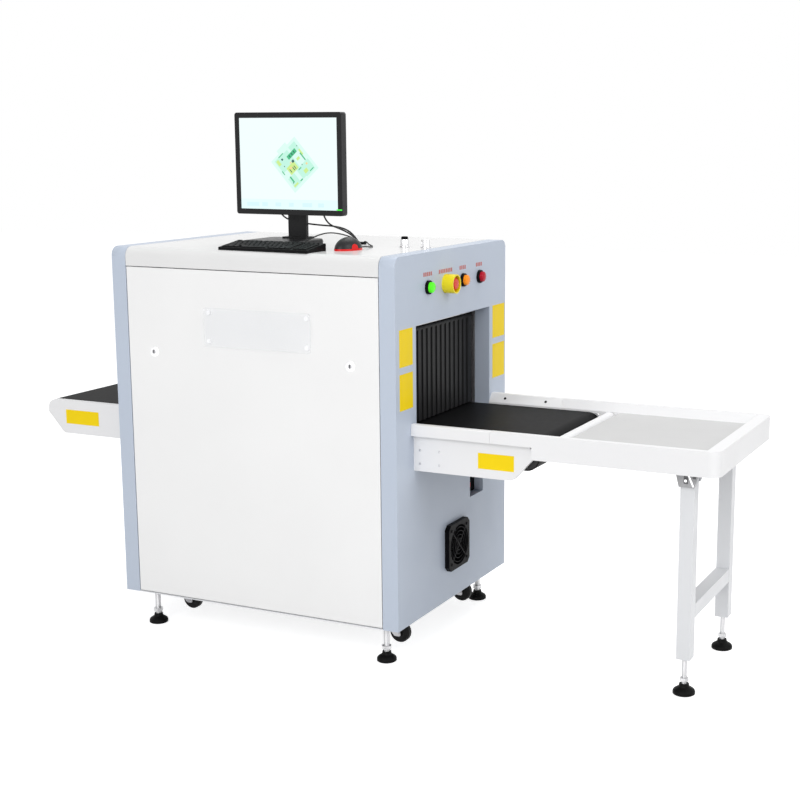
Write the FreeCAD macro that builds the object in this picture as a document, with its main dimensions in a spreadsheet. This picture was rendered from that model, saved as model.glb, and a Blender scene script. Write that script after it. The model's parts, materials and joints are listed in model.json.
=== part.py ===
"""Baggage x-ray scanner: a steel cabinet with a curtained tunnel, a belt conveyor
that runs through it, a roll-off tray on a folding leg frame, and an operator's
screen, keyboard and mouse on the deck.

Frame: +X along the belt towards the tray, +Y away from the operator's front
panel, +Z up.  The origin is on the floor under the middle of the whole machine.
Sizes are millimetres and live in the sheet below.
"""
import FreeCAD
import Part
import Sketcher
import math
import os
import re

# Driving dimensions
SIZES = {
    # cabinet
    "cab_length": 958,
    "cab_depth": 752,
    "cab_base": 115,
    "base_height": 465,
    "belt_rise": 95,
    "tunnel_height": 292,
    "head_height": 217,
    "cap_thick": 50,
    "cap_round": 28,
    "steel": 2,
    "shadow": 2.5,
    "cover_lip": 56,
    "panel_fold": 15,
    "frame_tube": 40,
    # tunnel and belt
    "tunnel_width": 505,
    "mouth_lip": 16,
    "belt_gap": 5.5,
    "belt_thick": 3,
    "drum_radius": 37,
    "drum_inset": 29,
    "drum_axle": 12,
    "fit_gap": 0.3,
    "move_gap": 5,
    "curtain_thick": 3,
    "curtain_strips": 14,
    "strip_cover": 17,
    "rod_radius": 4,
    "knuckle_wall": 3,
    # conveyor sides
    "rail_gap": 2,
    "rail_rise": 31,
    "rail_width": 19,
    "rail_slope": 20,
    "rail_sheet": 3,
    "guard_height": 34,
    "guard_reach": 245,
    "rail_seam": 0.5,
    "plate_wide": 18.5,
    "plate_height": 107,
    "plate_reach": 367,
    "plate_slant": 60,
    "tip_height": 41,
    "nose_round": 30,
    # tray
    "tray_reach": 895,
    "tray_height": 69,
    "tray_rise": 5,
    "tray_round": 30,
    "end_width": 36,
    "end_slope": 30,
    "floor_drop": 16,
    "floor_gap": 12,
    "roller_radius": 19,
    "roller_gap": 8,
    "roller_pin": 5,
    # folding leg frame
    "leg_tube": 40,
    "leg_setback": 104,
    "leg_inset": 92,
    "leg_base": 103,
    "leg_crown": 15,
    "pivot_drop": 17,
    "pivot_radius": 5,
    "bar_base": 215,
    "ear_wide": 67,
    "ear_narrow": 48,
    "ear_drop": 22,
    "ear_sheet": 3,
    "ear_gap": 1.5,
    # levelling feet
    "foot_inset": 71,
    "foot_side": 60,
    "pad_radius": 29,
    "pad_height": 36,
    "leg_pad_radius": 31,
    "stem_radius": 8.5,
    "leg_stem_radius": 7,
    "nut_height": 10,
    # casters
    "caster_inset": 105,
    "caster_side": 162,
    "caster_trail": 27,
    "wheel_radius": 32,
    "wheel_width": 24,
    "wheel_lift": 24,
    "fork_sheet": 3,
    "fork_gap": 5,
    "axle_radius": 4,
    "caster_plate": 5,
    "plate_long": 68,
    "plate_broad": 56,
    "bearing_radius": 19,
    "kingpin_radius": 8,
    # lamps on the right end cap
    "lamp_pitch": 116.5,
    "lamp_drop": 100,
    "bezel_radius": 20,
    "bezel_reach": 6,
    "lens_radius": 16.5,
    "lens_reach": 23,
    "shroud_radius": 28,
    "shroud_reach": 36,
    "shroud_floor": 12,
    "shroud_wall": 4,
    "stop_radius": 19,
    "stop_stem": 8,
    "stop_travel": 4,
    # cooling fan and power inlet
    "fan_rise": 165,
    "fan_size": 144,
    "fan_reach": 15,
    "fan_bore": 62,
    "fan_chamfer": 14,
    "fan_depth": 38,
    "fan_motor": 8,
    "fan_strut": 4,
    "fan_pin": 4,
    "hub_radius": 20,
    "hub_play": 1,
    "hub_length": 21,
    "fan_blades": 7,
    "blade_thick": 2,
    "blade_chord": 15,
    "blade_pitch": 32,
    "guard_wire": 1.5,
    "guard_rings": 4,
    "guard_pitch": 12,
    "inlet_side": 156,
    "inlet_width": 97,
    "inlet_drop": 80,
    "inlet_height": 98,
    "inlet_depth": 36,
    # front panel fittings
    "lock_drop": 309,
    "lock_inset": 143.5,
    "lock_radius": 15,
    "lock_face": 3,
    "name_side": 33,
    "name_drop": 167,
    "name_height": 112,
    "name_width": 360,
    "name_sheet": 4,
    "standoff_length": 8,
    "standoff_radius": 7,
    "standoff_inset": 14,
    # deck fittings
    "switch_back": 44,
    "switch_inset": 60,
    "switch_pitch": 70,
    "switch_radius": 13,
    "switch_height": 24,
    "grommet_side": 158.5,
    "grommet_inset": 386,
    "grommet_radius": 17,
    "grommet_height": 6,
    "grommet_hole": 11,
    # screen
    "screen_side": -10,
    "neck_side": -18,
    "screen_inset": 250,
    "screen_rise": 91,
    "screen_width": 370,
    "screen_height": 302,
    "screen_round": 8,
    "screen_rim": 16,
    "screen_thick": 28,
    "screen_swell": 8,
    "glass_thick": 1.5,
    "glass_sink": 2,
    "tilt_rise": 125,
    "tilt_radius": 3,
    "knuckle_half": 16,
    "ear_thick": 8,
    "neck_width": 64,
    "neck_thick": 12,
    "stand_length": 200,
    "stand_depth": 180,
    "stand_height": 14,
    "clip_rise": 121,
    "clip_height": 22,
    "clip_depth": 16,
    "clip_side": 5,
    # keyboard and mouse
    "keys_length": 304,
    "keys_depth": 100,
    "keys_front": 8,
    "keys_rear": 22,
    "keys_side": 42,
    "keys_inset": 70,
    "keys_turn": -1.5,
    "gland_radius": 3.5,
    "gland_length": 12,
    "gland_side": 37,
    "mouse_length": 100,
    "mouse_width": 58,
    "mouse_height": 38,
    "mouse_waist": 13,
    "mouse_side": 238,
    "mouse_inset": 170,
    "mouse_turn": 75,
    "screen_cord": 2.5,
    "desk_cord": 2,
}

doc = FreeCAD.newDocument("scanner")
sheet = doc.addObject("Spreadsheet::Sheet", "sizes")
for row, (alias, value) in enumerate(SIZES.items(), start=1):
    sheet.set(f"A{row}", alias)
    sheet.set(f"B{row}", str(value))
    sheet.setAlias(f"B{row}", alias)
doc.recompute()

NODES = {}
ORIGIN_PLANE = {"X": "YZ_Plane", "Y": "XZ_Plane", "Z": "XY_Plane"}
TURN_TO = {
    "X": FreeCAD.Rotation(FreeCAD.Vector(0, 1, 0), 90),
    "Y": FreeCAD.Rotation(FreeCAD.Vector(1, 0, 0), -90),
    "Z": FreeCAD.Rotation(),
}

# Places worked out from the sizes, under names of their own
PLACES = {
    "mouth_base": "cab_base + base_height",
    "belt_top": "mouth_base + belt_rise",
    "tunnel_top": "belt_top + tunnel_height",
    "mouth_top": "tunnel_top + mouth_lip",
    "cab_top": "tunnel_top + head_height",
    "belt_width": "tunnel_width - 2 * belt_gap",
    "drum_reach": "plate_reach - drum_inset",
    "rail_half": "belt_width / 2 + rail_gap + rail_slope + rail_width",
    "rail_top": "belt_top + rail_rise",
    "guard_base": "rail_top - guard_height",
    "plate_half": "tunnel_width / 2 + plate_wide",
    "plate_base": "belt_top - plate_height",
    "tip_base": "belt_top - tip_height",
    "tray_base": "rail_top - tray_height",
    "tray_floor": "belt_top + tray_rise",
    "roller_reach": "drum_reach + drum_radius + belt_thick + roller_gap + roller_radius",
    "tray_start": "roller_reach + roller_radius + floor_gap",
    "leg_reach": "tray_reach - leg_setback",
    "leg_half": "rail_half - leg_inset",
    "pivot_height": "tray_base - pivot_drop",
    "ear_base": "pivot_height - ear_drop",
    "lamp_height": "cab_top - lamp_drop",
    "fan_height": "cab_base + fan_rise",
    "inlet_base": "mouth_base - inlet_drop - inlet_height",
    "lock_height": "cab_top - lock_drop",
    "name_base": "cab_top - name_drop - name_height",
    "screen_base": "cab_top + screen_rise",
    "tilt_height": "screen_base + tilt_rise",
    "glass_width": "screen_width - 2 * screen_rim",
    "glass_height": "screen_height - 2 * screen_rim",
    "knuckle_radius": "tilt_radius + knuckle_wall",
    "tilt_gap": "knuckle_radius + move_gap",
}

# Places that many pieces share, written in the sheet's names
MID = "((plate_reach - tray_reach) / 2)"
RIGHT = f"({MID} + cab_length / 2)"
LEFT = f"({MID} - cab_length / 2)"
SHIFT = "((standoff_length + name_sheet) / 2)"
FRONT = f"({SHIFT} - cab_depth / 2)"
REAR = f"({SHIFT} + cab_depth / 2)"
DRUM_Z = "(belt_top - belt_thick - drum_radius)"
ROLLER_Z = "(tray_floor - roller_radius)"
LEG_X = f"({RIGHT} + leg_reach)"
CASTER_CROWN = "(wheel_lift + 2 * wheel_radius + fork_gap)"
ARC_SHARE = 0.45
ROD_Z = "(tunnel_top - move_gap - knuckle_wall - rod_radius - fit_gap)"
FAN_Y = SHIFT
TILT_Y = f"({FRONT} + screen_inset + screen_thick + screen_swell + tilt_gap)"


def bound(text):
    """The expression with each place spelled out and each alias written as a cell of the sheet."""
    def cell(match):
        word = match.group(0)
        if word in PLACES:
            return f"({bound(PLACES[word])})"
        return f"sizes.{word}" if word in SIZES else word
    return re.sub(r"[a-z_]+", cell, str(text))


def size(text):
    """The value in millimetres of an expression in the sheet's names."""
    return float(sheet.evalExpression(bound(text)))


def bind(item, prop, text):
    """Ties a property to an expression in the sheet's names."""
    item.setExpression(prop, bound(text))


def put(item, x=0, y=0, z=0):
    """Places an object, keeping its turn."""
    for axis, text in zip("xyz", (x, y, z)):
        bind(item, f".Placement.Base.{axis}", text)
    return item


def tag(item, label):
    """Registers a finished object as the node of that name."""
    item.Label = label
    NODES[label] = item
    return item


def block(x, y, z, name="Block"):
    """A box from three (low, high) pairs."""
    item = doc.addObject("Part::Box", name)
    for prop, (low, high) in zip(("Length", "Width", "Height"), (x, y, z)):
        bind(item, prop, f"({high}) - ({low})")
    return put(item, x[0], y[0], z[0])


def rod(axis, x, y, z, radius, length, name="Rod"):
    """A cylinder that starts at a point and runs along +axis."""
    item = doc.addObject("Part::Cylinder", name)
    item.Placement = FreeCAD.Placement(FreeCAD.Vector(), TURN_TO[axis])
    bind(item, "Radius", radius)
    bind(item, "Height", length)
    return put(item, x, y, z)


def nut(x, y, z, radius, length, name="Nut"):
    """A hexagon that starts at a point and runs along +Z."""
    item = doc.addObject("Part::Prism", name)
    item.Polygon = 6
    bind(item, "Circumradius", radius)
    bind(item, "Height", length)
    return put(item, x, y, z)


def ring(axis, x, y, z, radius, wire, name="Ring"):
    """A torus about an axis through a point."""
    item = doc.addObject("Part::Torus", name)
    item.Placement = FreeCAD.Placement(FreeCAD.Vector(), TURN_TO[axis])
    bind(item, "Radius1", radius)
    bind(item, "Radius2", wire)
    return put(item, x, y, z)


def fuse(parts, name="Joined"):
    item = doc.addObject("Part::MultiFuse", name)
    item.Shapes = parts
    item.Refine = True
    return item


def cut(base, tools, name="Cut"):
    item = doc.addObject("Part::Cut", name)
    item.Base = base
    item.Tool = tools[0] if len(tools) == 1 else fuse(tools)
    return item


def common(first, second, name="Shared"):
    item = doc.addObject("Part::Common", name)
    item.Base = first
    item.Tool = second
    return item


def group(parts, name="Set"):
    """Like pieces of one node, as solids that don't touch."""
    item = doc.addObject("Part::Compound", name)
    item.Links = parts
    return item


def draw(sketch, corners):
    """Adds one closed outline: each corner is (u, v) or (u, v, radius) in expressions."""
    first = sketch.GeometryCount
    spots = [FreeCAD.Vector(size(corner[0]), size(corner[1]), 0) for corner in corners]
    total = len(corners)
    starts = []
    ends = []
    for index, corner in enumerate(corners):
        spot = spots[index]
        radius = size(corner[2]) if len(corner) > 2 else 0
        before = (spots[index - 1] - spot).normalize()
        after = (spots[(index + 1) % total] - spot).normalize()
        half = before.getAngle(after) / 2
        back = radius / math.tan(half)
        starts.append(spot + before * back)
        ends.append(spot + after * back)
    for index in range(total):
        line = Part.LineSegment(ends[index], starts[(index + 1) % total])
        sketch.addGeometry(line)
    for index, corner in enumerate(corners):
        line_in = first + (index - 1) % total
        line_out = first + index
        if len(corner) == 2:
            sketch.addConstraint(Sketcher.Constraint("Coincident", line_in, 2, line_out, 1))
            vertex = (line_out, 1)
        else:
            vertex = rounded_corner(sketch, spots[index], starts[index], ends[index], line_in, line_out, corner[2])
        for kind, text in zip(("DistanceX", "DistanceY"), corner):
            value = size(text)
            number = sketch.addConstraint(Sketcher.Constraint(kind, -1, 1, *vertex, value))
            sketch.setExpression(f"Constraints[{number}]", bound(text))


def rounded_corner(sketch, spot, start, end, line_in, line_out, radius):
    """An arc tangent to two lines, and a construction point where the lines would meet."""
    before = (start - spot).normalize()
    after = (end - spot).normalize()
    half = before.getAngle(after) / 2
    middle = spot + (before + after).normalize() * (size(radius) / math.sin(half))
    nearest = middle - (before + after).normalize() * size(radius)
    anticlockwise = (start - middle).cross(end - middle).z > 0
    curve = Part.Arc(start, nearest, end) if anticlockwise else Part.Arc(end, nearest, start)
    arc = sketch.addGeometry(curve)
    point = sketch.addGeometry(Part.Point(spot), True)
    arc_start, arc_end = (1, 2) if anticlockwise else (2, 1)
    sketch.addConstraint(Sketcher.Constraint("Tangent", line_in, 2, arc, arc_start))
    sketch.addConstraint(Sketcher.Constraint("Tangent", arc, arc_end, line_out, 1))
    sketch.addConstraint(Sketcher.Constraint("PointOnObject", point, 1, line_in))
    sketch.addConstraint(Sketcher.Constraint("PointOnObject", point, 1, line_out))
    number = sketch.addConstraint(Sketcher.Constraint("Radius", arc, size(radius)))
    sketch.setExpression(f"Constraints[{number}]", bound(radius))
    return (point, 1)


def sketch_on(body, role, *outlines):
    """A sketch on one of the body's own origin planes."""
    plane = [item for item in body.Origin.OriginFeatures if item.Role == role][0]
    sketch = body.newObject("Sketcher::SketchObject", "Outline")
    sketch.AttachmentSupport = [(plane, "")]
    sketch.MapMode = "FlatFace"
    for corners in outlines:
        draw(sketch, corners)
    return sketch


def prism(axis, low, high, *outlines, name="Profile"):
    """A body: outlines in the plane across an axis, padded from low to high."""
    body = doc.addObject("PartDesign::Body", name)
    sketch = sketch_on(body, ORIGIN_PLANE[axis], *outlines)
    pad = body.newObject("PartDesign::Pad", "Pad")
    pad.Profile = sketch
    pad.Reversed = axis == "Y"
    bind(pad, "Length", f"({high}) - ({low})")
    sketch.Visibility = False
    place = {"x": 0, "y": 0, "z": 0}
    place[axis.lower()] = low
    return put(body, **place)


def turned(axis, x, y, z, profile, name="Turned"):
    """A body: a (radius, height) profile revolved about an axis through a point."""
    body = doc.addObject("PartDesign::Body", name)
    sketch = sketch_on(body, "XZ_Plane", profile)
    spin = [item for item in body.Origin.OriginFeatures if item.Role == "Z_Axis"][0]
    turn = body.newObject("PartDesign::Revolution", "Turn")
    turn.Profile = sketch
    turn.ReferenceAxis = (spin, [""])
    turn.Angle = 360
    body.Placement = FreeCAD.Placement(FreeCAD.Vector(), TURN_TO[axis])
    return put(body, x, y, z)


def outward(side, near, far):
    """The (low, high) X pair between two distances out from a cabinet end."""
    if side > 0:
        return (f"{RIGHT} + {near}", f"{RIGHT} + {far}")
    return (f"{LEFT} - ({far})", f"{LEFT} - ({near})")


def across(half):
    """The (low, high) Y pair about the belt's middle line."""
    return (f"{SHIFT} - ({half})", f"{SHIFT} + ({half})")


def beside(side, near, far):
    """The (low, high) Y pair on one side of the belt's middle line."""
    if side > 0:
        return (f"{SHIFT} + ({near})", f"{SHIFT} + ({far})")
    return (f"{SHIFT} - ({far})", f"{SHIFT} - ({near})")


def caster_axis(end, side):
    """The swivel axis of one caster."""
    x = f"({RIGHT} - caster_inset)" if end > 0 else f"({LEFT} + caster_inset)"
    y = f"({SHIFT} + {side} * (cab_depth / 2 - caster_side))"
    return x, y


def caster_mounts():
    """Top plate, bearing ring and kingpin of each caster."""
    parts = []
    top = f"({CASTER_CROWN} + fork_sheet + fit_gap)"
    for end in (1, -1):
        for side in (-1, 1):
            x, y = caster_axis(end, side)
            parts.append(block(
                (f"{x} - plate_long / 2", f"{x} + plate_long / 2"),
                (f"{y} - plate_broad / 2", f"{y} + plate_broad / 2"),
                ("cab_base - caster_plate", "cab_base"),
            ))
            parts.append(rod("Z", x, y, top, "bearing_radius", f"cab_base - caster_plate - {top}"))
            parts.append(rod("Z", x, y, f"{CASTER_CROWN} + fit_gap", "kingpin_radius", "fork_sheet + 1"))
    return parts


# Cabinet

def end_cap(side, label):
    """Folded end housing with the tunnel mouth cut through it."""
    x = outward(side, "-cap_thick", "0")
    body = prism("X", x[0], x[1], [
        (FRONT, "cab_base"),
        (REAR, "cab_base"),
        (REAR, "cab_top", "cap_round"),
        (FRONT, "cab_top", "cap_round"),
    ], [
        (f"{SHIFT} - tunnel_width / 2", "mouth_base"),
        (f"{SHIFT} + tunnel_width / 2", "mouth_base"),
        (f"{SHIFT} + tunnel_width / 2", "mouth_top"),
        (f"{SHIFT} - tunnel_width / 2", "mouth_top"),
    ])
    tools = []
    if side > 0:
        tools.append(block(
            outward(side, "-inlet_depth", "1"),
            (f"{SHIFT} + inlet_side - inlet_width / 2", f"{SHIFT} + inlet_side + inlet_width / 2"),
            ("inlet_base", "inlet_base + inlet_height"),
        ))
        tools.append(rod(
            "X", f"{RIGHT} - cap_thick - 1", FAN_Y, "fan_height",
            "fan_bore + rail_sheet", "cap_thick + 2",
        ))
    item = cut(body, tools) if tools else body
    tag(item, label)


def panel(side, label):
    """Front or rear sheet with folded returns."""
    outer = FRONT if side < 0 else REAR
    inner = f"{outer} + panel_fold" if side < 0 else f"{outer} - panel_fold"
    skin = f"{outer} + steel" if side < 0 else f"{outer} - steel"
    x = (f"{LEFT} + cap_thick + shadow", f"{RIGHT} - cap_thick - shadow")
    z = ("cab_base + rail_sheet + shadow", "cab_top - cover_lip - shadow")
    deep = (outer, inner) if side < 0 else (inner, outer)
    hollow = (skin, f"{inner} + 1") if side < 0 else (f"{inner} - 1", skin)
    pan = block(x, deep, z)
    inside = block(
        (f"{x[0]} + steel", f"{x[1]} - steel"),
        hollow,
        (f"{z[0]} + steel", f"{z[1]} - steel"),
    )
    tag(cut(pan, [inside]), label)


def top_cover():
    """Lid with rounded long edges and a turned-down lip."""
    x = (f"{LEFT} + cap_thick + shadow / 2", f"{RIGHT} - cap_thick - shadow / 2")
    lip = "cab_top - cover_lip"
    body = prism("X", x[0], x[1], [
        (FRONT, lip),
        (f"{FRONT} + steel", lip),
        (f"{FRONT} + steel", "cab_top - steel", "cap_round - steel"),
        (f"{REAR} - steel", "cab_top - steel", "cap_round - steel"),
        (f"{REAR} - steel", lip),
        (REAR, lip),
        (REAR, "cab_top", "cap_round"),
        (FRONT, "cab_top", "cap_round"),
    ])
    tag(body, "top_cover")


def base_frame():
    """Welded chassis: floor plate, four posts and a top ring."""
    x = (f"{LEFT} + cap_thick", f"{RIGHT} - cap_thick")
    plate = block(x, (FRONT, REAR), ("cab_base", "cab_base + rail_sheet"))
    bars = [plate]
    for side in (-1, 1):
        near = "cab_depth / 2 - panel_fold - frame_tube"
        far = "cab_depth / 2 - panel_fold"
        y = beside(side, near, far)
        for end in (-1, 1):
            post_x = outward(end, "-cap_thick - frame_tube", "-cap_thick")
            bars.append(block(post_x, y, ("cab_base", "cab_top - cap_round")))
        shelf = beside(side, "cab_depth / 2 - cap_round - 8 - frame_tube", "cab_depth / 2 - cap_round - 8")
        bars.append(block(x, shelf, ("cab_top - steel - frame_tube", "cab_top - steel")))
        bars.append(block(x, y, ("cab_base", "cab_base + frame_tube")))
    tag(fuse(bars + caster_mounts()), "base_frame")


def tunnel_liner():
    """Steel duct between the end caps, two walls and a roof, with the curtains' rods."""
    x = (f"{LEFT} + cap_thick", f"{RIGHT} - cap_thick")
    inside = "tunnel_width / 2"
    outside = "(tunnel_width / 2 + steel)"
    bed = "belt_top - belt_thick - fit_gap - rail_sheet"
    body = prism("X", x[0], x[1], [
        (f"{SHIFT} - {outside}", bed),
        (f"{SHIFT} - {inside}", bed),
        (f"{SHIFT} - {inside}", "tunnel_top"),
        (f"{SHIFT} + {inside}", "tunnel_top"),
        (f"{SHIFT} + {inside}", bed),
        (f"{SHIFT} + {outside}", bed),
        (f"{SHIFT} + {outside}", "tunnel_top + steel"),
        (f"{SHIFT} - {outside}", "tunnel_top + steel"),
    ])
    rods = [
        rod("Y", curtain_x(end), f"{SHIFT} - {inside} - steel / 2", ROD_Z, "rod_radius", "tunnel_width + steel")
        for end in (-1, 1)
    ]
    tag(fuse([body] + rods), "tunnel_liner")


def curtain_x(end):
    """Where a curtain hangs: just inside the end cap."""
    back = "cap_thick + move_gap + rod_radius + knuckle_wall"
    return f"({RIGHT} - ({back}))" if end > 0 else f"({LEFT} + {back})"


def curtain(end, label):
    """Two overlapping layers of rubber strips under a sleeve that turns on the rod."""
    half = "(tunnel_width / 2 - move_gap)"
    x = curtain_x(end)
    count = int(size("curtain_strips"))
    step = f"(2 * {half} / curtain_strips)"
    parts = [rod("Y", x, f"{SHIFT} - {half}", ROD_Z, "rod_radius + fit_gap + knuckle_wall", f"2 * {half}")]
    z = ("belt_top + move_gap", f"{ROD_Z} - rod_radius - fit_gap")
    near, far = (x, f"{x} + curtain_thick") if end > 0 else (f"{x} - curtain_thick", x)
    back = (f"{x} - curtain_thick", x) if end > 0 else (x, f"{x} + curtain_thick")
    parts.append(block(back, (f"{SHIFT} - {half}", f"{SHIFT} + {half}"), z))
    for index in range(1, count):
        seam = f"{SHIFT} - {half} + {index} * {step}"
        parts.append(block((near, far), (f"{seam} - strip_cover / 2", f"{seam} + strip_cover / 2"), z))
    bore = rod("Y", x, f"{SHIFT} - {half} - 1", ROD_Z, "rod_radius + fit_gap", f"2 * {half} + 2")
    tag(cut(fuse(parts), [bore]), label)


# Conveyor

def racetrack(radius, half, reach):
    """Flat loop: two half rounds joined by straight runs."""
    left = f"{LEFT} - {reach}"
    right = f"{RIGHT} + {reach}"
    y = across(half)
    slab = block((left, right), y, (f"{DRUM_Z} - ({radius})", f"{DRUM_Z} + ({radius})"))
    ends = [rod("Y", x, y[0], DRUM_Z, radius, f"2 * ({half})") for x in (left, right)]
    return fuse([slab] + ends)


def belt():
    """One closed loop round the two end drums."""
    outer = racetrack("drum_radius + belt_thick", "belt_width / 2", "drum_reach")
    inner = racetrack("drum_radius", "belt_width / 2 + 1", "drum_reach")
    tag(cut(outer, [inner]), "belt")


def end_drums():
    """End rollers with their axles in the side plates."""
    drums = []
    half = "(belt_width / 2 - fit_gap)"
    web = "(plate_half - rail_sheet)"
    for x in (f"{LEFT} - drum_reach", f"{RIGHT} + drum_reach"):
        shell = rod("Y", x, f"{SHIFT} - {half}", DRUM_Z, "drum_radius - fit_gap", f"2 * {half}")
        axle = rod("Y", x, f"{SHIFT} - {web}", DRUM_Z, "drum_axle", f"2 * {web}")
        drums.append(fuse([shell, axle]))
    tag(group(drums), "end_drums")


def belt_bed():
    """Slider plate under the top run, up to where the belt turns down."""
    top = "belt_top - belt_thick - fit_gap"
    reach = "(drum_reach - drum_radius)"
    x = (f"{LEFT} - {reach}", f"{RIGHT} + {reach}")
    tag(block(x, across("tunnel_width / 2 - fit_gap"), (f"{top} - rail_sheet", top)), "belt_bed")


def side_plates():
    """Pressed side frames: a web with a flange turned in all round."""
    plates = []
    corner = "plate_reach - plate_slant"
    for end, side in ((1, -1), (1, 1), (-1, -1), (-1, 1)):
        def reach(distance):
            return f"{RIGHT} + ({distance})" if end > 0 else f"{LEFT} - ({distance})"
        wide = beside(side, "tunnel_width / 2", "plate_half")
        deep = beside(side, "tunnel_width / 2 - 1", "plate_half - rail_sheet")
        outer = [
            (reach("0"), "plate_base"),
            (reach(corner), "plate_base", "nose_round * 0.7"),
            (reach("plate_reach"), "tip_base", "nose_round * 0.3"),
            (reach("plate_reach"), "belt_top", "nose_round"),
            (reach("0"), "belt_top"),
        ]
        inner = [
            (reach("-1"), "plate_base + rail_sheet"),
            (reach(f"{corner} - rail_sheet * 0.4"), "plate_base + rail_sheet", "nose_round * 0.6"),
            (reach("plate_reach - rail_sheet"), "tip_base + rail_sheet * 0.4", "nose_round * 0.2"),
            (reach("plate_reach - rail_sheet"), "belt_top - rail_sheet", "nose_round - rail_sheet"),
            (reach("-1"), "belt_top - rail_sheet"),
        ]
        plates.append(cut(prism("Y", *wide, outer), [prism("Y", *deep, inner)]))
    tag(group(plates), "side_plates")


def channel(side, x, outer_base, inner_base):
    """Guard section: outer wall, narrow top, inner slope down to the belt's edge."""
    sign = "+" if side > 0 else "-"

    def out(distance):
        return f"{SHIFT} {sign} ({distance})"
    lip = "rail_half - rail_width"
    foot = f"{lip} - rail_slope"
    drop = "(rail_sheet * 1.2)"
    return prism("X", *x, [
        (out("rail_half"), outer_base),
        (out("rail_half"), "rail_top", "3"),
        (out(lip), "rail_top", "4"),
        (out(foot), "tray_floor"),
        (out(foot), inner_base),
        (out(f"{foot} + rail_sheet"), inner_base),
        (out(f"{foot} + rail_sheet"), "tray_floor - rail_sheet / 2"),
        (out(f"{lip} + 1"), f"rail_top - {drop}"),
        (out("rail_half - rail_sheet"), "rail_top - rail_sheet"),
        (out("rail_half - rail_sheet"), outer_base),
    ])


def guard_rails():
    """Guards along both edges of the belt on the tray side."""
    x = outward(1, "0", "guard_reach - rail_seam")
    rails = [channel(side, x, "guard_base", "guard_base") for side in (-1, 1)]
    tag(group(rails), "guard_rails")


# Roll-off tray

def basin(inset):
    """The tray's well: straight below the floor, then sloping out to the rails."""
    foot = f"(rail_half - rail_width - rail_slope + {inset})"
    lip = f"(rail_half - rail_width + {inset})"
    left = f"{RIGHT} + guard_reach - 1 - 3 * ({inset})"
    end_foot = f"({RIGHT} + tray_reach - end_width - end_slope + {inset})"
    end_lip = f"({RIGHT} + tray_reach - end_width + {inset})"
    well = block((left, end_foot), across(foot), ("tray_base - 1", f"tray_floor - ({inset}) / 2"))
    flare = doc.addObject("Part::Wedge", "Flare")
    low = f"tray_floor - ({inset}) / 2"
    high = "rail_top + 1"
    values = {
        "Xmin": left, "Xmax": end_foot, "X2min": left, "X2max": end_lip,
        "Ymin": low, "Ymax": high,
        "Zmin": f"-1 * {foot}", "Zmax": foot, "Z2min": f"-1 * {lip}", "Z2max": lip,
    }
    for prop, text in values.items():
        bind(flare, prop, text)
    flare.Placement = FreeCAD.Placement(
        FreeCAD.Vector(), FreeCAD.Rotation(FreeCAD.Vector(1, 0, 0), 90))
    put(flare, 0, SHIFT, 0)
    return fuse([well, flare])


def tray_block(inset):
    """The tray's outer form, with two upright corners rounded."""
    x = (f"{RIGHT} + guard_reach", f"{RIGHT} + tray_reach - ({inset})")
    y = across(f"rail_half - ({inset})")
    top = f"rail_top - ({inset})"
    base = "tray_base" if inset == "0" else "tray_base - 1"
    return prism("Z", base, top, [
        (x[0] if inset == "0" else f"{x[0]} - 1", y[0]),
        (x[1], y[0], f"tray_round - ({inset})"),
        (x[1], y[1], f"tray_round - ({inset})"),
        (x[0] if inset == "0" else f"{x[0]} - 1", y[1]),
    ])


def tray_frame():
    """Moulded rail round three sides of the tray, stepped up where it passes the belt's side plates."""
    solid = cut(tray_block("0"), [basin("0")])
    hollow = cut(tray_block("rail_sheet"), [basin("rail_sheet")])
    pins = rod(
        "Y", f"{RIGHT} + roller_reach", f"{SHIFT} - rail_half + rail_sheet + 1", ROLLER_Z,
        "roller_pin + fit_gap", "2 * (rail_half - rail_sheet - 1)",
    )
    step = block(
        (f"{RIGHT} + guard_reach - 1", f"{RIGHT} + plate_reach + move_gap / 2"),
        across("rail_half + 1"),
        ("tray_base - 1", "guard_base"),
    )
    tag(cut(solid, [hollow, pins, step]), "tray_frame")


def tray_floor():
    """Grey sheet with a turned-down front edge."""
    half = "rail_half - rail_width - rail_slope"
    x = (f"{RIGHT} + tray_start", f"{RIGHT} + tray_reach - end_width - end_slope")
    body = prism("Y", *across(half), [
        (x[0], "tray_floor - floor_drop"),
        (f"{x[0]} + rail_sheet", "tray_floor - floor_drop"),
        (f"{x[0]} + rail_sheet", "tray_floor - rail_sheet"),
        (x[1], "tray_floor - rail_sheet"),
        (x[1], "tray_floor"),
        (x[0], "tray_floor", "2"),
    ])
    tag(body, "tray_floor")


def transfer_roller():
    """Free roller between the belt's end and the tray."""
    half = "(rail_half - rail_width - rail_slope)"
    x = f"{RIGHT} + roller_reach"
    tube = f"({half} - move_gap)"
    pin = f"({half} + rail_sheet - fit_gap)"
    shell = rod("Y", x, f"{SHIFT} - {tube}", ROLLER_Z, "roller_radius", f"2 * {tube}")
    axle = rod("Y", x, f"{SHIFT} - {pin}", ROLLER_Z, "roller_pin", f"2 * {pin}")
    tag(fuse([shell, axle]), "transfer_roller")


# Folding leg frame

def leg_y(side, offset="0"):
    return f"{SHIFT} + {side} * leg_half + ({offset})"


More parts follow.
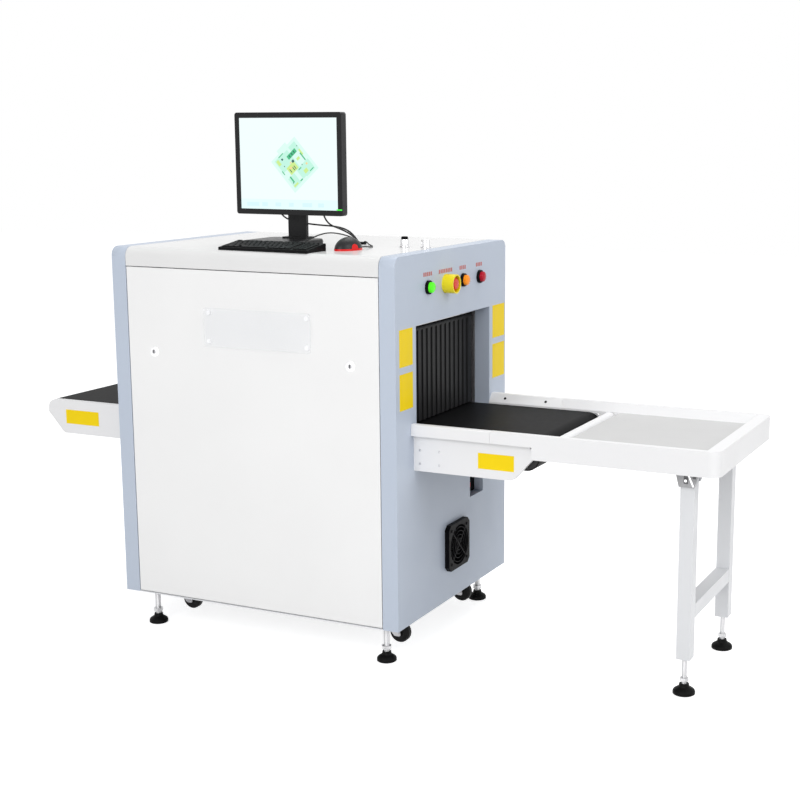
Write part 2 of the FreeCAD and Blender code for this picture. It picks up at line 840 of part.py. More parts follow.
def leg_brackets():
    """Pressed clevis under the tray for each leg, with its pivot bolt."""
    brackets = []
    inner = "(leg_tube / 2 + ear_gap)"
    outer = f"({inner} + ear_sheet)"
    head = "(pivot_radius * 0.8)"
    for side in (-1, 1):
        y = leg_y(side)
        parts = [block(
            (f"{LEG_X} - ear_wide / 2", f"{LEG_X} + ear_wide / 2"),
            (f"{y} - {outer}", f"{y} + {outer}"),
            ("tray_floor - 2 * rail_sheet", "tray_floor - rail_sheet"),
        )]
        for low in (f"{y} - {outer}", f"{y} + {inner}"):
            parts.append(prism("Y", low, f"{low} + ear_sheet", [
                (f"{LEG_X} - ear_wide / 2", "tray_floor - rail_sheet"),
                (f"{LEG_X} - ear_wide / 2", f"tray_base - {head}"),
                (f"{LEG_X} - ear_narrow / 2", "ear_base", "4"),
                (f"{LEG_X} + ear_narrow / 2", "ear_base", "4"),
                (f"{LEG_X} + ear_wide / 2", f"tray_base - {head}"),
                (f"{LEG_X} + ear_wide / 2", "tray_floor - rail_sheet"),
            ]))
        parts.append(rod("Y", LEG_X, f"{y} - {outer}", "pivot_height", "pivot_radius", f"2 * {outer}"))
        for low in (f"{y} - {outer} - {head}", f"{y} + {outer}"):
            parts.append(rod("Y", LEG_X, low, "pivot_height", "pivot_radius * 1.8", head))
        brackets.append(fuse(parts))
    tag(group(brackets), "leg_brackets")


def leg(side, label):
    """Square tube, rounded at the top and bored for the pivot bolt."""
    y = leg_y(side)
    half = "leg_tube / 2"
    crown = "pivot_height + leg_crown"
    body = prism("Y", f"{y} - {half}", f"{y} + {half}", [
        (f"{LEG_X} - {half}", "leg_base"),
        (f"{LEG_X} + {half}", "leg_base"),
        (f"{LEG_X} + {half}", crown, "leg_crown"),
        (f"{LEG_X} - {half}", crown, "leg_crown"),
    ])
    inside = block(
        (f"{LEG_X} - {half} + steel", f"{LEG_X} + {half} - steel"),
        (f"{y} - {half} + steel", f"{y} + {half} - steel"),
        ("leg_base + 6", f"pivot_height - pivot_radius - 12"),
    )
    bore = rod("Y", LEG_X, f"{y} - leg_tube", "pivot_height", "pivot_radius + 0.1", "2 * leg_tube")
    tag(cut(body, [inside, bore]), label)


def leg_crossbar():
    half = "leg_half - leg_tube / 2"
    x = (f"{LEG_X} - leg_tube / 2", f"{LEG_X} + leg_tube / 2")
    tag(block(x, across(half), ("bar_base", "bar_base + leg_tube")), "leg_crossbar")


def foot_stem(x, y, top, radius):
    """Threaded stem with a lock nut above the pad."""
    stem = rod("Z", x, y, "pad_height - 6", radius, f"({top}) - pad_height + 6")
    lock = nut(x, y, "pad_height + 1", f"{radius} * 1.8", "nut_height")
    return fuse([stem, lock])


def foot_pad(x, y, radius):
    """Rubber foot: flat base, cone and neck."""
    return turned("Z", x, y, "0", [
        ("0", "0"),
        (f"{radius} - 2", "0"),
        (radius, "2"),
        (radius, "9"),
        (f"{radius} * 0.55", "pad_height - 14"),
        (f"{radius} * 0.5", "pad_height - 6"),
        ("0", "pad_height - 6"),
    ])


def feet():
    stems = []
    pads = []
    for end in (-1, 1):
        x = outward(end, "-foot_inset", "0")[0 if end > 0 else 1]
        for side in (-1, 1):
            y = beside(side, "cab_depth / 2 - foot_side", "0")[0 if side > 0 else 1]
            stems.append(foot_stem(x, y, "cab_base", "stem_radius"))
            pads.append(foot_pad(x, y, "pad_radius"))
    tag(group(stems), "foot_stems")
    tag(group(pads), "foot_pads")
    leg_stems = []
    leg_pads = []
    for side in (-1, 1):
        leg_stems.append(foot_stem(LEG_X, leg_y(side), "leg_base", "leg_stem_radius"))
        leg_pads.append(foot_pad(LEG_X, leg_y(side), "leg_pad_radius"))
    tag(group(leg_stems), "leg_foot_stems")
    tag(group(leg_pads), "leg_foot_pads")


# Casters

def casters():
    """Swivel casters, held off the floor by the levelling feet."""
    wheel_z = "(wheel_lift + wheel_radius)"
    crown = CASTER_CROWN
    for end, end_name in ((1, "right"), (-1, "left")):
        for side, side_name in ((-1, "front"), (1, "rear")):
            x, y = caster_axis(end, side)
            cheeks = []
            gap = "(wheel_width / 2 + fork_gap)"
            for cheek in (-1, 1):
                low = f"{y} + {cheek} * ({gap} + fork_sheet / 2) - fork_sheet / 2"
                cheeks.append(prism("Y", low, f"{low} + fork_sheet", [
                    (f"{x} - 20", f"{crown} + fork_sheet"),
                    (f"{x} - 20", f"{crown} - 8", "6"),
                    (f"{x} + caster_trail - 11", f"{wheel_z} - 10", "6"),
                    (f"{x} + caster_trail + 11", f"{wheel_z} - 10", "6"),
                    (f"{x} + 24", f"{crown} + fork_sheet"),
                ]))
            bridge = block((f"{x} - 20", f"{x} + 24"),
                           (f"{y} - {gap} - fork_sheet", f"{y} + {gap} + fork_sheet"),
                           (crown, f"{crown} + fork_sheet"))
            axle = rod("Y", f"{x} + caster_trail", f"{y} - {gap} - fork_sheet - 3", wheel_z,
                       "axle_radius", f"2 * ({gap} + fork_sheet + 3)")
            king = rod("Z", x, y, f"{crown} - 1", "kingpin_radius + fit_gap", "fork_sheet + 2")
            fork = cut(fuse(cheeks + [bridge, axle]), [king])
            tag(fork, f"caster_fork_{end_name}_{side_name}")
            half = "wheel_width / 2"
            wheel = turned("Y", f"{x} + caster_trail", y, wheel_z, [
                ("axle_radius + 0.1", f"-1 * ({half})"),
                ("wheel_radius - 4", f"-1 * ({half})"),
                ("wheel_radius", f"-1 * ({half}) + 5"),
                ("wheel_radius", f"{half} - 5"),
                ("wheel_radius - 4", half),
                ("axle_radius + 0.1", half),
            ])
            tag(wheel, f"caster_wheel_{end_name}_{side_name}")


# Lamps and emergency stop

def lamp_y(place):
    return f"{SHIFT} + ({place}) * lamp_pitch"


def lamps():
    bezels = []
    for place, name in ((-1.5, "green"), (0.5, "orange"), (1.5, "red")):
        y = lamp_y(place)
        bezels.append(rod("X", RIGHT, y, "lamp_height", "bezel_radius", "bezel_reach"))
        lens = turned("X", f"{RIGHT} + bezel_reach", y, "lamp_height", [
            ("0", "0"),
            ("lens_radius", "0"),
            ("lens_radius", "lens_reach - bezel_reach - 3", "2"),
            ("lens_radius - 4", "lens_reach - bezel_reach"),
            ("0", "lens_reach - bezel_reach"),
        ])
        tag(lens, f"lamp_{name}")
    tag(group(bezels), "lamp_bezels")


def emergency_stop():
    """Yellow collar with a red mushroom head that pushes in."""
    y = lamp_y(-0.5)
    collar = turned("X", RIGHT, y, "lamp_height", [
        ("stop_stem + fit_gap", "0"),
        ("shroud_radius", "0"),
        ("shroud_radius", "shroud_reach"),
        ("shroud_radius - shroud_wall", "shroud_reach"),
        ("shroud_radius - shroud_wall", "shroud_floor"),
        ("stop_stem + fit_gap", "shroud_floor"),
    ])
    tag(collar, "stop_collar")
    under = "shroud_floor + stop_travel + move_gap"
    head = turned("X", RIGHT, y, "lamp_height", [
        ("0", "stop_travel + 1"),
        ("stop_stem", "stop_travel + 1"),
        ("stop_stem", under),
        ("stop_radius", f"{under} + 2"),
        ("stop_radius", "shroud_reach - 6"),
        ("stop_radius - 5", "shroud_reach - 1"),
        ("0", "shroud_reach"),
    ])
    tag(head, "stop_button")


# Cooling fan

def set_at(item, place, rotation):
    """Sets a finished object at a point, turned."""
    holder = doc.addObject("Part::Compound", "Set")
    holder.Links = [item]
    holder.Placement = FreeCAD.Placement(FreeCAD.Vector(*[size(text) for text in place]), rotation)
    return holder


def fan_frame(back, front):
    """Square flange with cut corners, round barrel, motor, pin and four struts."""
    half = "(fan_size / 2)"
    low = (f"{FAN_Y} - {half}", f"fan_height - {half}")
    high = (f"{FAN_Y} + {half}", f"fan_height + {half}")
    flange = prism("X", RIGHT, front, [
        (low[0], f"{low[1]} + fan_chamfer"),
        (f"{low[0]} + fan_chamfer", low[1]),
        (f"{high[0]} - fan_chamfer", low[1]),
        (high[0], f"{low[1]} + fan_chamfer"),
        (high[0], f"{high[1]} - fan_chamfer"),
        (f"{high[0]} - fan_chamfer", high[1]),
        (f"{low[0]} + fan_chamfer", high[1]),
        (low[0], f"{high[1]} - fan_chamfer"),
    ])
    barrel = rod("X", back, FAN_Y, "fan_height", "fan_bore + rail_sheet - fit_gap", "fan_depth - fan_reach")
    bore = rod("X", f"{back} - 1", FAN_Y, "fan_height", "fan_bore", "fan_depth + 2")
    motor = rod("X", back, FAN_Y, "fan_height", "hub_radius", "fan_motor")
    pin = rod("X", back, FAN_Y, "fan_height", "fan_pin", "fan_motor + hub_play + hub_length - 2")
    reach = "(fan_bore + 1)"
    x = (back, f"{back} + fan_strut")
    struts = [
        block(x, (f"{FAN_Y} - {reach}", f"{FAN_Y} + {reach}"), ("fan_height - 3", "fan_height + 3")),
        block(x, (f"{FAN_Y} - 3", f"{FAN_Y} + 3"), (f"fan_height - {reach}", f"fan_height + {reach}")),
    ]
    tag(fuse([cut(fuse([flange, barrel]), [bore]), motor, pin] + struts), "fan_frame")


def fan_rotor(back):
    """Hub and pitched blades on the motor's pin."""
    low = f"{back} + fan_motor + hub_play"
    middle = (f"{low} + hub_length / 2", FAN_Y, "fan_height")
    parts = [rod("X", low, FAN_Y, "fan_height", "hub_radius", "hub_length")]
    count = int(size("fan_blades"))
    pitch = FreeCAD.Rotation(FreeCAD.Vector(0, 1, 0), size("blade_pitch"))
    for index in range(count):
        blade = block(
            ("-1 * blade_chord / 2", "blade_chord / 2"),
            ("hub_radius - 3", "fan_bore - move_gap"),
            ("-1 * blade_thick / 2", "blade_thick / 2"),
        )
        spin = FreeCAD.Rotation(FreeCAD.Vector(1, 0, 0), 360 / count * index)
        parts.append(set_at(blade, middle, spin.multiply(pitch)))
    bore = rod("X", f"{low} - 1", FAN_Y, "fan_height", "fan_pin + 0.1", "hub_length")
    tag(cut(fuse(parts), [bore]), "fan_rotor")


def fan_guard(front):
    """Wire rings on four arms in the mouth of the bore."""
    x = f"{front} - guard_wire"
    parts = []
    for index in range(int(size("guard_rings"))):
        radius = f"fan_bore - 8 - {index} * guard_pitch"
        parts.append(ring("X", x, FAN_Y, "fan_height", radius, "guard_wire"))
    reach = "(fan_bore - 0.2)"
    for angle in (45, 135):
        arm = block(
            ("-0.7 * guard_wire", "0.7 * guard_wire"),
            (f"-1 * {reach}", reach),
            ("-1.3 * guard_wire", "1.3 * guard_wire"),
        )
        parts.append(set_at(arm, (x, FAN_Y, "fan_height"), FreeCAD.Rotation(FreeCAD.Vector(1, 0, 0), angle)))
    tag(fuse(parts), "fan_guard")


def fan():
    front = f"{RIGHT} + fan_reach"
    back = f"{front} - fan_depth"
    fan_frame(back, front)
    fan_rotor(back)
    fan_guard(front)


def power_inlet():
    """Plate at the back of its recess, with a mains socket."""
    back = f"{RIGHT} - inlet_depth"
    face = f"{back} + 6"
    y = f"({SHIFT} + inlet_side)"
    z = "(inlet_base + inlet_height / 2)"
    wide = "(inlet_width / 2 - fit_gap)"
    tall = "(inlet_height / 2 - fit_gap)"
    plate = block((back, face), (f"{y} - {wide}", f"{y} + {wide}"), (f"{z} - {tall}", f"{z} + {tall}"))
    socket = block((f"{face} - 4", f"{face} + 1"), (f"{y} - 14", f"{y} + 14"), (f"{z} - 10", f"{z} + 10"))
    tag(cut(plate, [socket]), "power_inlet")


# Front panel fittings

def front_fittings():
    locks = []
    for x in (f"{LEFT} + lock_inset", f"{RIGHT} - lock_inset"):
        locks.append(turned("Y", x, FRONT, "lock_height", [
            ("0", "-1 * lock_face"),
            ("lock_radius - 4", "-1 * lock_face"),
            ("lock_radius", "-1"),
            ("lock_radius", "0"),
            ("0", "0"),
        ]))
    tag(group(locks), "panel_locks")
    x = f"({MID} + name_side)"
    z = "(name_base + name_height / 2)"
    wide = "(name_width / 2 - standoff_inset)"
    tall = "(name_height / 2 - standoff_inset)"
    face = f"{FRONT} - standoff_length"
    studs = []
    for right in (-1, 1):
        for up in (-1, 1):
            studs.append(rod("Y", f"{x} + {right} * {wide}", face, f"{z} + {up} * {tall}",
                             "standoff_radius", "standoff_length"))
    tag(group(studs), "plate_standoffs")
    plate = prism("Y", f"{face} - name_sheet", face, [
        (f"{x} - name_width / 2", "name_base", "6"),
        (f"{x} + name_width / 2", "name_base", "6"),
        (f"{x} + name_width / 2", "name_base + name_height", "6"),
        (f"{x} - name_width / 2", "name_base + name_height", "6"),
    ])
    tag(plate, "name_plate")


# Deck fittings

def deck_fittings():
    y = f"{SHIFT} - switch_back"
    near = f"{RIGHT} - switch_inset - 12"
    far = f"{near} - switch_pitch"
    body = [
        ("0", "0"),
        ("switch_radius + 3", "0"),
        ("switch_radius + 3", "4"),
        ("switch_radius", "5"),
        ("switch_radius", "switch_height"),
        ("0", "switch_height"),
    ]
    tag(group([turned("Z", x, y, "cab_top", body) for x in (near, far)]), "deck_switches")
    tag(turned("Z", f"{MID} + grommet_side", f"{FRONT} + grommet_inset", "cab_top", [
        ("0", "0"),
        ("grommet_radius", "0"),
        ("grommet_radius", "grommet_height", "2"),
        ("grommet_hole", "grommet_height", "2"),
        ("grommet_hole", "grommet_height - 3"),
        ("0", "grommet_height - 3"),
    ]), "cable_grommet")


# Screen, keyboard and mouse

def screen_housing():
    """Flat slab with a raised back, a lit panel let into its face, and two ears on a pin."""
    x = f"({MID} + screen_side)"
    neck = f"({MID} + neck_side)"
    front = f"({FRONT} + screen_inset)"
    back = f"({front} + screen_thick)"
    half = "screen_width / 2"
    z = ("screen_base", "screen_base + screen_height")
    slab = prism("Y", front, back, [
        (f"{x} - {half}", z[0], "screen_round"),
        (f"{x} + {half}", z[0], "screen_round"),
        (f"{x} + {half}", z[1], "screen_round"),
        (f"{x} - {half}", z[1], "screen_round"),
    ])
    hump_half = "(screen_width * 0.3)"
    hump = prism("Y", back, f"{back} + screen_swell", [
        (f"{x} - {hump_half}", f"{z[0]} + 40", "20"),
        (f"{x} + {hump_half}", f"{z[0]} + 40", "20"),
        (f"{x} + {hump_half}", f"{z[1]} - 60", "20"),
        (f"{x} - {hump_half}", f"{z[1]} - 60", "20"),
    ])
    wide = "(glass_width / 2)"
    base = "(screen_base + screen_rim)"
    recess = block(
        (f"{x} - {wide}", f"{x} + {wide}"),
        (f"{front} - 1", f"{front} + glass_sink"),
        (base, f"{base} + glass_height"),
    )
    ears = []
    ear_near = "(knuckle_half + 1)"
    for low in (f"{neck} - {ear_near} - ear_thick", f"{neck} + {ear_near}"):
        ears.append(rod("X", low, TILT_Y, "tilt_height", "knuckle_radius", "ear_thick"))
        ears.append(block(
            (low, f"{low} + ear_thick"),
            (f"{back} + screen_swell - 1", TILT_Y),
            ("tilt_height - knuckle_radius", "tilt_height + knuckle_radius"),
        ))
    reach = f"({ear_near} + ear_thick)"
    pin = rod("X", f"{neck} - {reach}", TILT_Y, "tilt_height", "tilt_radius", f"2 * {reach}")
    tag(fuse([cut(fuse([slab, hump]), [recess])] + ears + [pin]), "screen_housing")
    tag(block(
        (f"{x} - {wide} + fit_gap", f"{x} + {wide} - fit_gap"),
        (f"{front} + glass_sink - glass_thick", f"{front} + glass_sink"),
        (f"{base} + fit_gap", f"{base} + glass_height - fit_gap"),
    ), "screen_glass")


def screen_stand():
    """Neck with a knuckle for the screen's pin, a clip for its cords, and a domed foot."""
    x = f"({MID} + neck_side)"
    front = f"({TILT_Y} + tilt_gap)"
    back = f"({front} + neck_thick)"
    half = "neck_width / 2"
    neck = prism("Y", front, back, [
        (f"{x} - {half}", "cab_top + stand_height"),
        (f"{x} + {half}", "cab_top + stand_height"),
        (f"{x} + {half}", "tilt_height + 20", "12"),
        (f"{x} - {half}", "tilt_height + 20", "12"),
    ])
    knuckle = rod("X", f"{x} - knuckle_half", TILT_Y, "tilt_height", "knuckle_radius", "2 * knuckle_half")
    web = block(
        (f"{x} - knuckle_half", f"{x} + knuckle_half"),
        (TILT_Y, front),
        ("tilt_height - knuckle_radius", "tilt_height + knuckle_radius"),
    )
    clip_z = "(cab_top + clip_rise)"
    clip = block(
        (f"{x} - {half} - clip_side", f"{x} + {half} + clip_side"),
        (back, f"{back} + clip_depth"),
        (clip_z, f"{clip_z} + clip_height"),
    )
    hole = rod("X", f"{x} - knuckle_half - 1", TILT_Y, "tilt_height", "tilt_radius + 0.1", "2 * knuckle_half + 2")
    tag(cut(fuse([neck, knuckle, web, clip]), [hole]), "screen_neck")
    foot = doc.addObject("Part::Ellipsoid", "Foot")
    bind(foot, "Radius1", "stand_height")
    bind(foot, "Radius2", "stand_length / 2")
    bind(foot, "Radius3", "stand_depth / 2")
    middle = f"({TILT_Y} - 6)"
    put(foot, x, middle, "cab_top")
    keep = block(
        (f"{x} - stand_length", f"{x} + stand_length"),
        (f"{middle} - stand_depth", f"{middle} + stand_depth"),
        ("cab_top", "cab_top + stand_height - 2"),
    )
    boss = block(
        (f"{x} - {half} - 6", f"{x} + {half} + 6"),
        (f"{front} - 6", f"{back} + 6"),
        ("cab_top + 2", "cab_top + stand_height"),
    )
    tag(fuse([common(foot, keep), boss]), "screen_stand")


def set_down(item, side, inset, turn):
    """Sets a finished object down on the deck, turned about Z."""
    spin = FreeCAD.Rotation(FreeCAD.Vector(0, 0, 1), size(turn))
    return set_at(item, (f"{MID} + {side}", f"{FRONT} + {inset}", "0"), spin)


def keyboard():
    """Wedge case with its cord's gland at the back."""
    half = "keys_length / 2"
    body = prism("X", f"-1 * {half}", half, [
        ("-1 * keys_depth / 2", "cab_top"),
        ("keys_depth / 2", "cab_top"),
        ("keys_depth / 2", "cab_top + keys_rear", "3"),
        ("-1 * keys_depth / 2", "cab_top + keys_front", "2"),
    ])
    gland = rod("Y", "gland_side", "keys_depth / 2 - 1", "cab_top + gland_length", "gland_radius",
                "gland_length + 1")
    tag(set_down(fuse([body, gland]), "keys_side", "keys_inset", "keys_turn"), "keyboard")


def mouse_dome():
    dome = doc.addObject("Part::Ellipsoid", "Dome")
    bind(dome, "Radius1", "mouse_height")
    bind(dome, "Radius2", "mouse_length / 2")
    bind(dome, "Radius3", "mouse_width / 2")
    return put(dome, 0, 0, "cab_top")


def mouse():
    """Domed shell over a base that holds the cord's gland."""
    wide = ("-1 * mouse_length", "mouse_length")
    waist = "cab_top + mouse_waist"
    upper = common(mouse_dome(), block(wide, wide, (waist, "cab_top + 2 * mouse_height")))
    tag(set_down(upper, "mouse_side", "mouse_inset", "mouse_turn"), "mouse_shell")
    lower = common(mouse_dome(), block(wide, wide, ("cab_top", waist)))
    gland = rod("X", "mouse_length / 2 - 9", "0", "cab_top + 6", "gland_radius - 0.5", "gland_length")
    tag(set_down(fuse([lower, gland]), "mouse_side", "mouse_inset", "mouse_turn"), "mouse_base")


# Cords, each a smooth route of chosen points in millimetres

CORDS = {
    "screen_power_cord": ("screen_cord", [
        (-319, -42, 1317),
        (-340, -42, 1317),
        (-357, -41, 1302),
        (-359, -39, 1280),
        (-343, -37, 1262),
        (-317, -35, 1252),
        (-269, -34, 1245),
        (-219, -31, 1241),
        (-175, -25, 1239),
        (-142, -13, 1231),
        (-122, 2, 1213),
        (-111.5, 16.5, 1186.5),
    ]),
    "screen_video_cord": ("screen_cord", [
        (-245, -42, 1317),
        (-225, -42, 1317),
        (-209, -41, 1302),
        (-204, -40, 1279),
        (-195, -39, 1257),
        (-179, -37, 1242),
        (-155, -30, 1233),
        (-132, -18, 1221),
        (-117, -4, 1206),
        (-107.5, 10.5, 1188),
    ]),
    "keyboard_cord": ("desk_cord", [
        (-183.4, -239, 1196),
        (-182.8, -218, 1196),
        (-178, -194, 1201),
        (-170, -167, 1211),
        (-159, -136, 1221),
        (-146, -104, 1225),
        (-133, -72, 1221),
        (-121, -41, 1213),
        (-110, -14, 1202),
        (-101.5, 9, 1188),
    ]),
    "mouse_cord": ("desk_cord", [
        (-12.3, -148.8, 1190),
        (-7.3, -130, 1190),
        (-6, -108, 1187),
        (-11, -84, 1186.2),
        (-23, -61, 1186.4),
        (-40, -40, 1186.2),
        (-57, -21, 1187),
        (-73, -4, 1191.5),
        (-88, 9, 1194),
        (-99, 18, 1188),
    ]),
}


def route_wire(points):
    """Straight runs between the points, joined by arcs as large as the runs allow."""
    spots = [FreeCAD.Vector(*point) for point in points]
    edges = []
    here = spots[0]
    radii = []
    for before, spot, after in zip(spots, spots[1:], spots[2:]):
        run_in = (spot - before).Length
        run_out = (after - spot).Length
        to_before = (before - spot).normalize()
        to_after = (after - spot).normalize()
        half_turn = (math.pi - to_before.getAngle(to_after)) / 2
        back = ARC_SHARE * min(run_in, run_out)
        radius = back / math.tan(half_turn)
        start = spot + to_before * back
        end = spot + to_after * back
        bisector = (to_before + to_after).normalize()
        nearest = spot + bisector * (radius / math.cos(half_turn) - radius)
        edges.append(Part.LineSegment(here, start).toShape())
        edges.append(Part.Arc(start, nearest, end).toShape())
        here = end
        radii.append(radius)
    edges.append(Part.LineSegment(here, spots[-1]).toShape())
    return Part.Wire(edges), min(radii)


def cords():
    """A tube along each route, its volume checked against its section times its length."""
    for label, (radius_name, points) in CORDS.items():
        radius = size(radius_name)
        path, tightest = route_wire(points)
        start = FreeCAD.Vector(*points[0])
        heading = FreeCAD.Vector(*points[1]) - start
        section = Part.Wire(Part.Circle(start, heading, radius).toShape())
        tube = path.makePipeShell([section], True, True)
        expected = math.pi * radius ** 2 * path.Length
        print(label, f"length {path.Length:.1f} mm, tightest arc {tightest:.1f} mm,",
              f"volume {tube.Volume / expected:.4f} of its section times its length")
        item = doc.addObject("Part::Feature", label)
        item.Shape = tube
        tag(item, label)


# Build
end_cap(1, "end_cap_right")
end_cap(-1, "end_cap_left")
panel(-1, "front_panel")
panel(1, "rear_panel")
top_cover()
base_frame()
tunnel_liner()
curtain(1, "curtain_right")
curtain(-1, "curtain_left")
belt()
end_drums()
belt_bed()
side_plates()
guard_rails()
tray_frame()
tray_floor()
transfer_roller()
leg_brackets()
leg(-1, "leg_front")
leg(1, "leg_rear")
leg_crossbar()
feet()
casters()
lamps()
emergency_stop()
fan()
power_inlet()
front_fittings()
deck_fittings()
screen_housing()
screen_stand()
keyboard()
mouse()
cords()
doc.recompute()

# Check and write
faults = [item.Label for item in doc.Objects if {"Invalid", "Error"} & set(item.State)]
if faults:
    raise RuntimeError(f"failed objects: {faults}")
os.makedirs("parts", exist_ok=True)
for label, item in NODES.items():
    shape = item.Shape
    if shape.isNull() or not shape.isValid() or shape.Volume <= 0:
        raise RuntimeError(f"bad shape: {label}")
    shape.exportStep(os.path.join("parts", f"{label}.step"))
print(len(NODES), "nodes")
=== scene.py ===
"""Finish of the baggage x-ray scanner: paint, rubber, lamps, screen, keys and cords."""
import json
import math

import bmesh
import bpy
from mathutils import Matrix, Vector

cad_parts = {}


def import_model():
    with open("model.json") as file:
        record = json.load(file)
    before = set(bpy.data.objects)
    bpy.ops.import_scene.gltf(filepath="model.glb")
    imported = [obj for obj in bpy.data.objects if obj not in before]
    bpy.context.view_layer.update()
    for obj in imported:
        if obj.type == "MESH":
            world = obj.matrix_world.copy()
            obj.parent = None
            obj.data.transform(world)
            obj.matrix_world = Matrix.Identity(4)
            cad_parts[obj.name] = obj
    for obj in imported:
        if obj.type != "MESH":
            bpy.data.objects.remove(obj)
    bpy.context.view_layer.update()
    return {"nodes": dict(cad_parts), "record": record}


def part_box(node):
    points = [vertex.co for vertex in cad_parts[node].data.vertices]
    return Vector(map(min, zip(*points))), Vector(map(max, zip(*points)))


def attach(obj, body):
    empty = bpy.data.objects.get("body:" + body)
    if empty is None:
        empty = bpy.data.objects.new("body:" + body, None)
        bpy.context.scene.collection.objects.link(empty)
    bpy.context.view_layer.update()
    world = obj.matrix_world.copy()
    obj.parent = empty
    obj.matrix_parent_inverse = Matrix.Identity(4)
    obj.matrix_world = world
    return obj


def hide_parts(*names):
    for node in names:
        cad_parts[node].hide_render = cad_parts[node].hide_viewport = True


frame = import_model()
nodes = frame["nodes"]

# Camera at the photograph's viewing angle
CAMERA_PLACE = (2.05783, -3.83312, 1.51750)
CAMERA_PITCH = 90 - 10.763
CAMERA_YAW = 24.806
CAMERA_LENS = 64.79
CAMERA_SHIFT = (-0.0943, 0.0079)

# Soft boxes, as (name, place, aim, width, watts)
LAMPS = (
    ("key", (0.6, -5.0, 2.6), (0, 0, 0.6), 3.4, 114),
    ("side", (4.2, -0.7, 3.0), (0, 0, 0.9), 2.4, 56),
    ("top", (0.2, 1.5, 4.6), (0, 0, 0.6), 3.0, 72),
)

# Light levels of the studio
FLOOR_REACH = 14
FLOOR_SHADE = 0.75
FLOOR_LIFT = 0.70
BACKDROP = 1.0
SKY = 0.54

# Places taken from the frame
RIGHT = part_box("end_cap_right")[1][0]
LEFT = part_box("end_cap_left")[0][0]
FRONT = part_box("end_cap_right")[0][1]
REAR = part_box("end_cap_right")[1][1]
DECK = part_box("top_cover")[1][2]
MIDDLE = (FRONT + REAR) / 2
PLATE_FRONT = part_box("side_plates")[0][1]
PLATE_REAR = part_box("side_plates")[1][1]
FILM = 0.0006


# Studio

def looked_at(tree):
    """One for rays of the camera, of gloss and of glass, and none for the light on the object."""
    path = tree.nodes.new("ShaderNodeLightPath")
    seen = tree.nodes.new("ShaderNodeMath")
    seen.operation = "MAXIMUM"
    tree.links.new(path.outputs["Is Camera Ray"], seen.inputs[0])
    tree.links.new(path.outputs["Is Glossy Ray"], seen.inputs[1])
    either = tree.nodes.new("ShaderNodeMath")
    either.operation = "MAXIMUM"
    tree.links.new(seen.outputs[0], either.inputs[0])
    tree.links.new(path.outputs["Is Transmission Ray"], either.inputs[1])
    return either.outputs[0]


def stage_material(name, shade, lift):
    """A pale surface with its shadow kept, lifted towards white where it is looked at."""
    made = bpy.data.materials.new(name)
    made.use_nodes = True
    tree = made.node_tree
    bsdf = tree.nodes["Principled BSDF"]
    bsdf.inputs["Base Color"].default_value = (shade, shade, shade, 1)
    bsdf.inputs["Roughness"].default_value = 0.9
    bsdf.inputs["Specular IOR Level"].default_value = 0.05
    bsdf.inputs["Emission Color"].default_value = (1, 1, 1, 1)
    strength = tree.nodes.new("ShaderNodeMapRange")
    strength.inputs["To Max"].default_value = lift
    tree.links.new(looked_at(tree), strength.inputs["Value"])
    tree.links.new(strength.outputs[0], bsdf.inputs["Emission Strength"])
    return made


def floor():
    bpy.ops.mesh.primitive_plane_add(size=2 * FLOOR_REACH, location=(0, 0, 0))
    made = bpy.context.object
    made.name = "floor"
    made.data.materials.append(stage_material("floor_pale", FLOOR_SHADE, FLOOR_LIFT))


def world():
    """Even soft light, and plain white wherever the camera or glass looks past the object."""
    made = bpy.data.worlds.new("studio")
    bpy.context.scene.world = made
    made.use_nodes = True
    tree = made.node_tree
    background = tree.nodes["Background"]
    strength = tree.nodes.new("ShaderNodeMapRange")
    strength.inputs["To Min"].default_value = SKY
    strength.inputs["To Max"].default_value = BACKDROP
    tree.links.new(looked_at(tree), strength.inputs["Value"])
    background.inputs["Color"].default_value = (1, 1, 1, 1)
    tree.links.new(strength.outputs[0], background.inputs["Strength"])


def lamp(name, place, target, size, power):
    data = bpy.data.lights.new(name, "AREA")
    data.shape = "SQUARE"
    data.size = size
    data.energy = power
    made = bpy.data.objects.new(name, data)
    made.location = place
    made.rotation_euler = (Vector(target) - Vector(place)).to_track_quat("-Z", "Y").to_euler()
    bpy.context.scene.collection.objects.link(made)


def camera():
    data = bpy.data.cameras.new("camera")
    data.lens = CAMERA_LENS
    data.shift_x, data.shift_y = CAMERA_SHIFT
    made = bpy.data.objects.new("camera", data)
    made.location = CAMERA_PLACE
    made.rotation_euler = (math.radians(CAMERA_PITCH), 0, math.radians(CAMERA_YAW))
    bpy.context.scene.collection.objects.link(made)
    bpy.context.scene.camera = made


# Materials

SPARK_SCALE = 1500.0


def finish(name, colour, roughness=0.5, metallic=0.0, gloss=0.5):
    """A new node material: (material, tree, its Principled shader)."""
    made = bpy.data.materials.new(name)
    made.use_nodes = True
    tree = made.node_tree
    bsdf = tree.nodes["Principled BSDF"]
    bsdf.inputs["Base Color"].default_value = (*colour, 1)
    bsdf.inputs["Roughness"].default_value = roughness
    bsdf.inputs["Metallic"].default_value = metallic
    bsdf.inputs["Specular IOR Level"].default_value = gloss
    return made, tree, bsdf


def noise(tree, scale, detail=2.0, stretch=(1, 1, 1)):
    """Object-space noise, with one axis drawn out where wanted."""
    place = tree.nodes.new("ShaderNodeTexCoord")
    mapping = tree.nodes.new("ShaderNodeMapping")
    mapping.inputs["Scale"].default_value = stretch
    texture = tree.nodes.new("ShaderNodeTexNoise")
    texture.inputs["Scale"].default_value = scale
    texture.inputs["Detail"].default_value = detail
    tree.links.new(place.outputs["Object"], mapping.inputs["Vector"])
    tree.links.new(mapping.outputs["Vector"], texture.inputs["Vector"])
    return texture.outputs["Fac"]


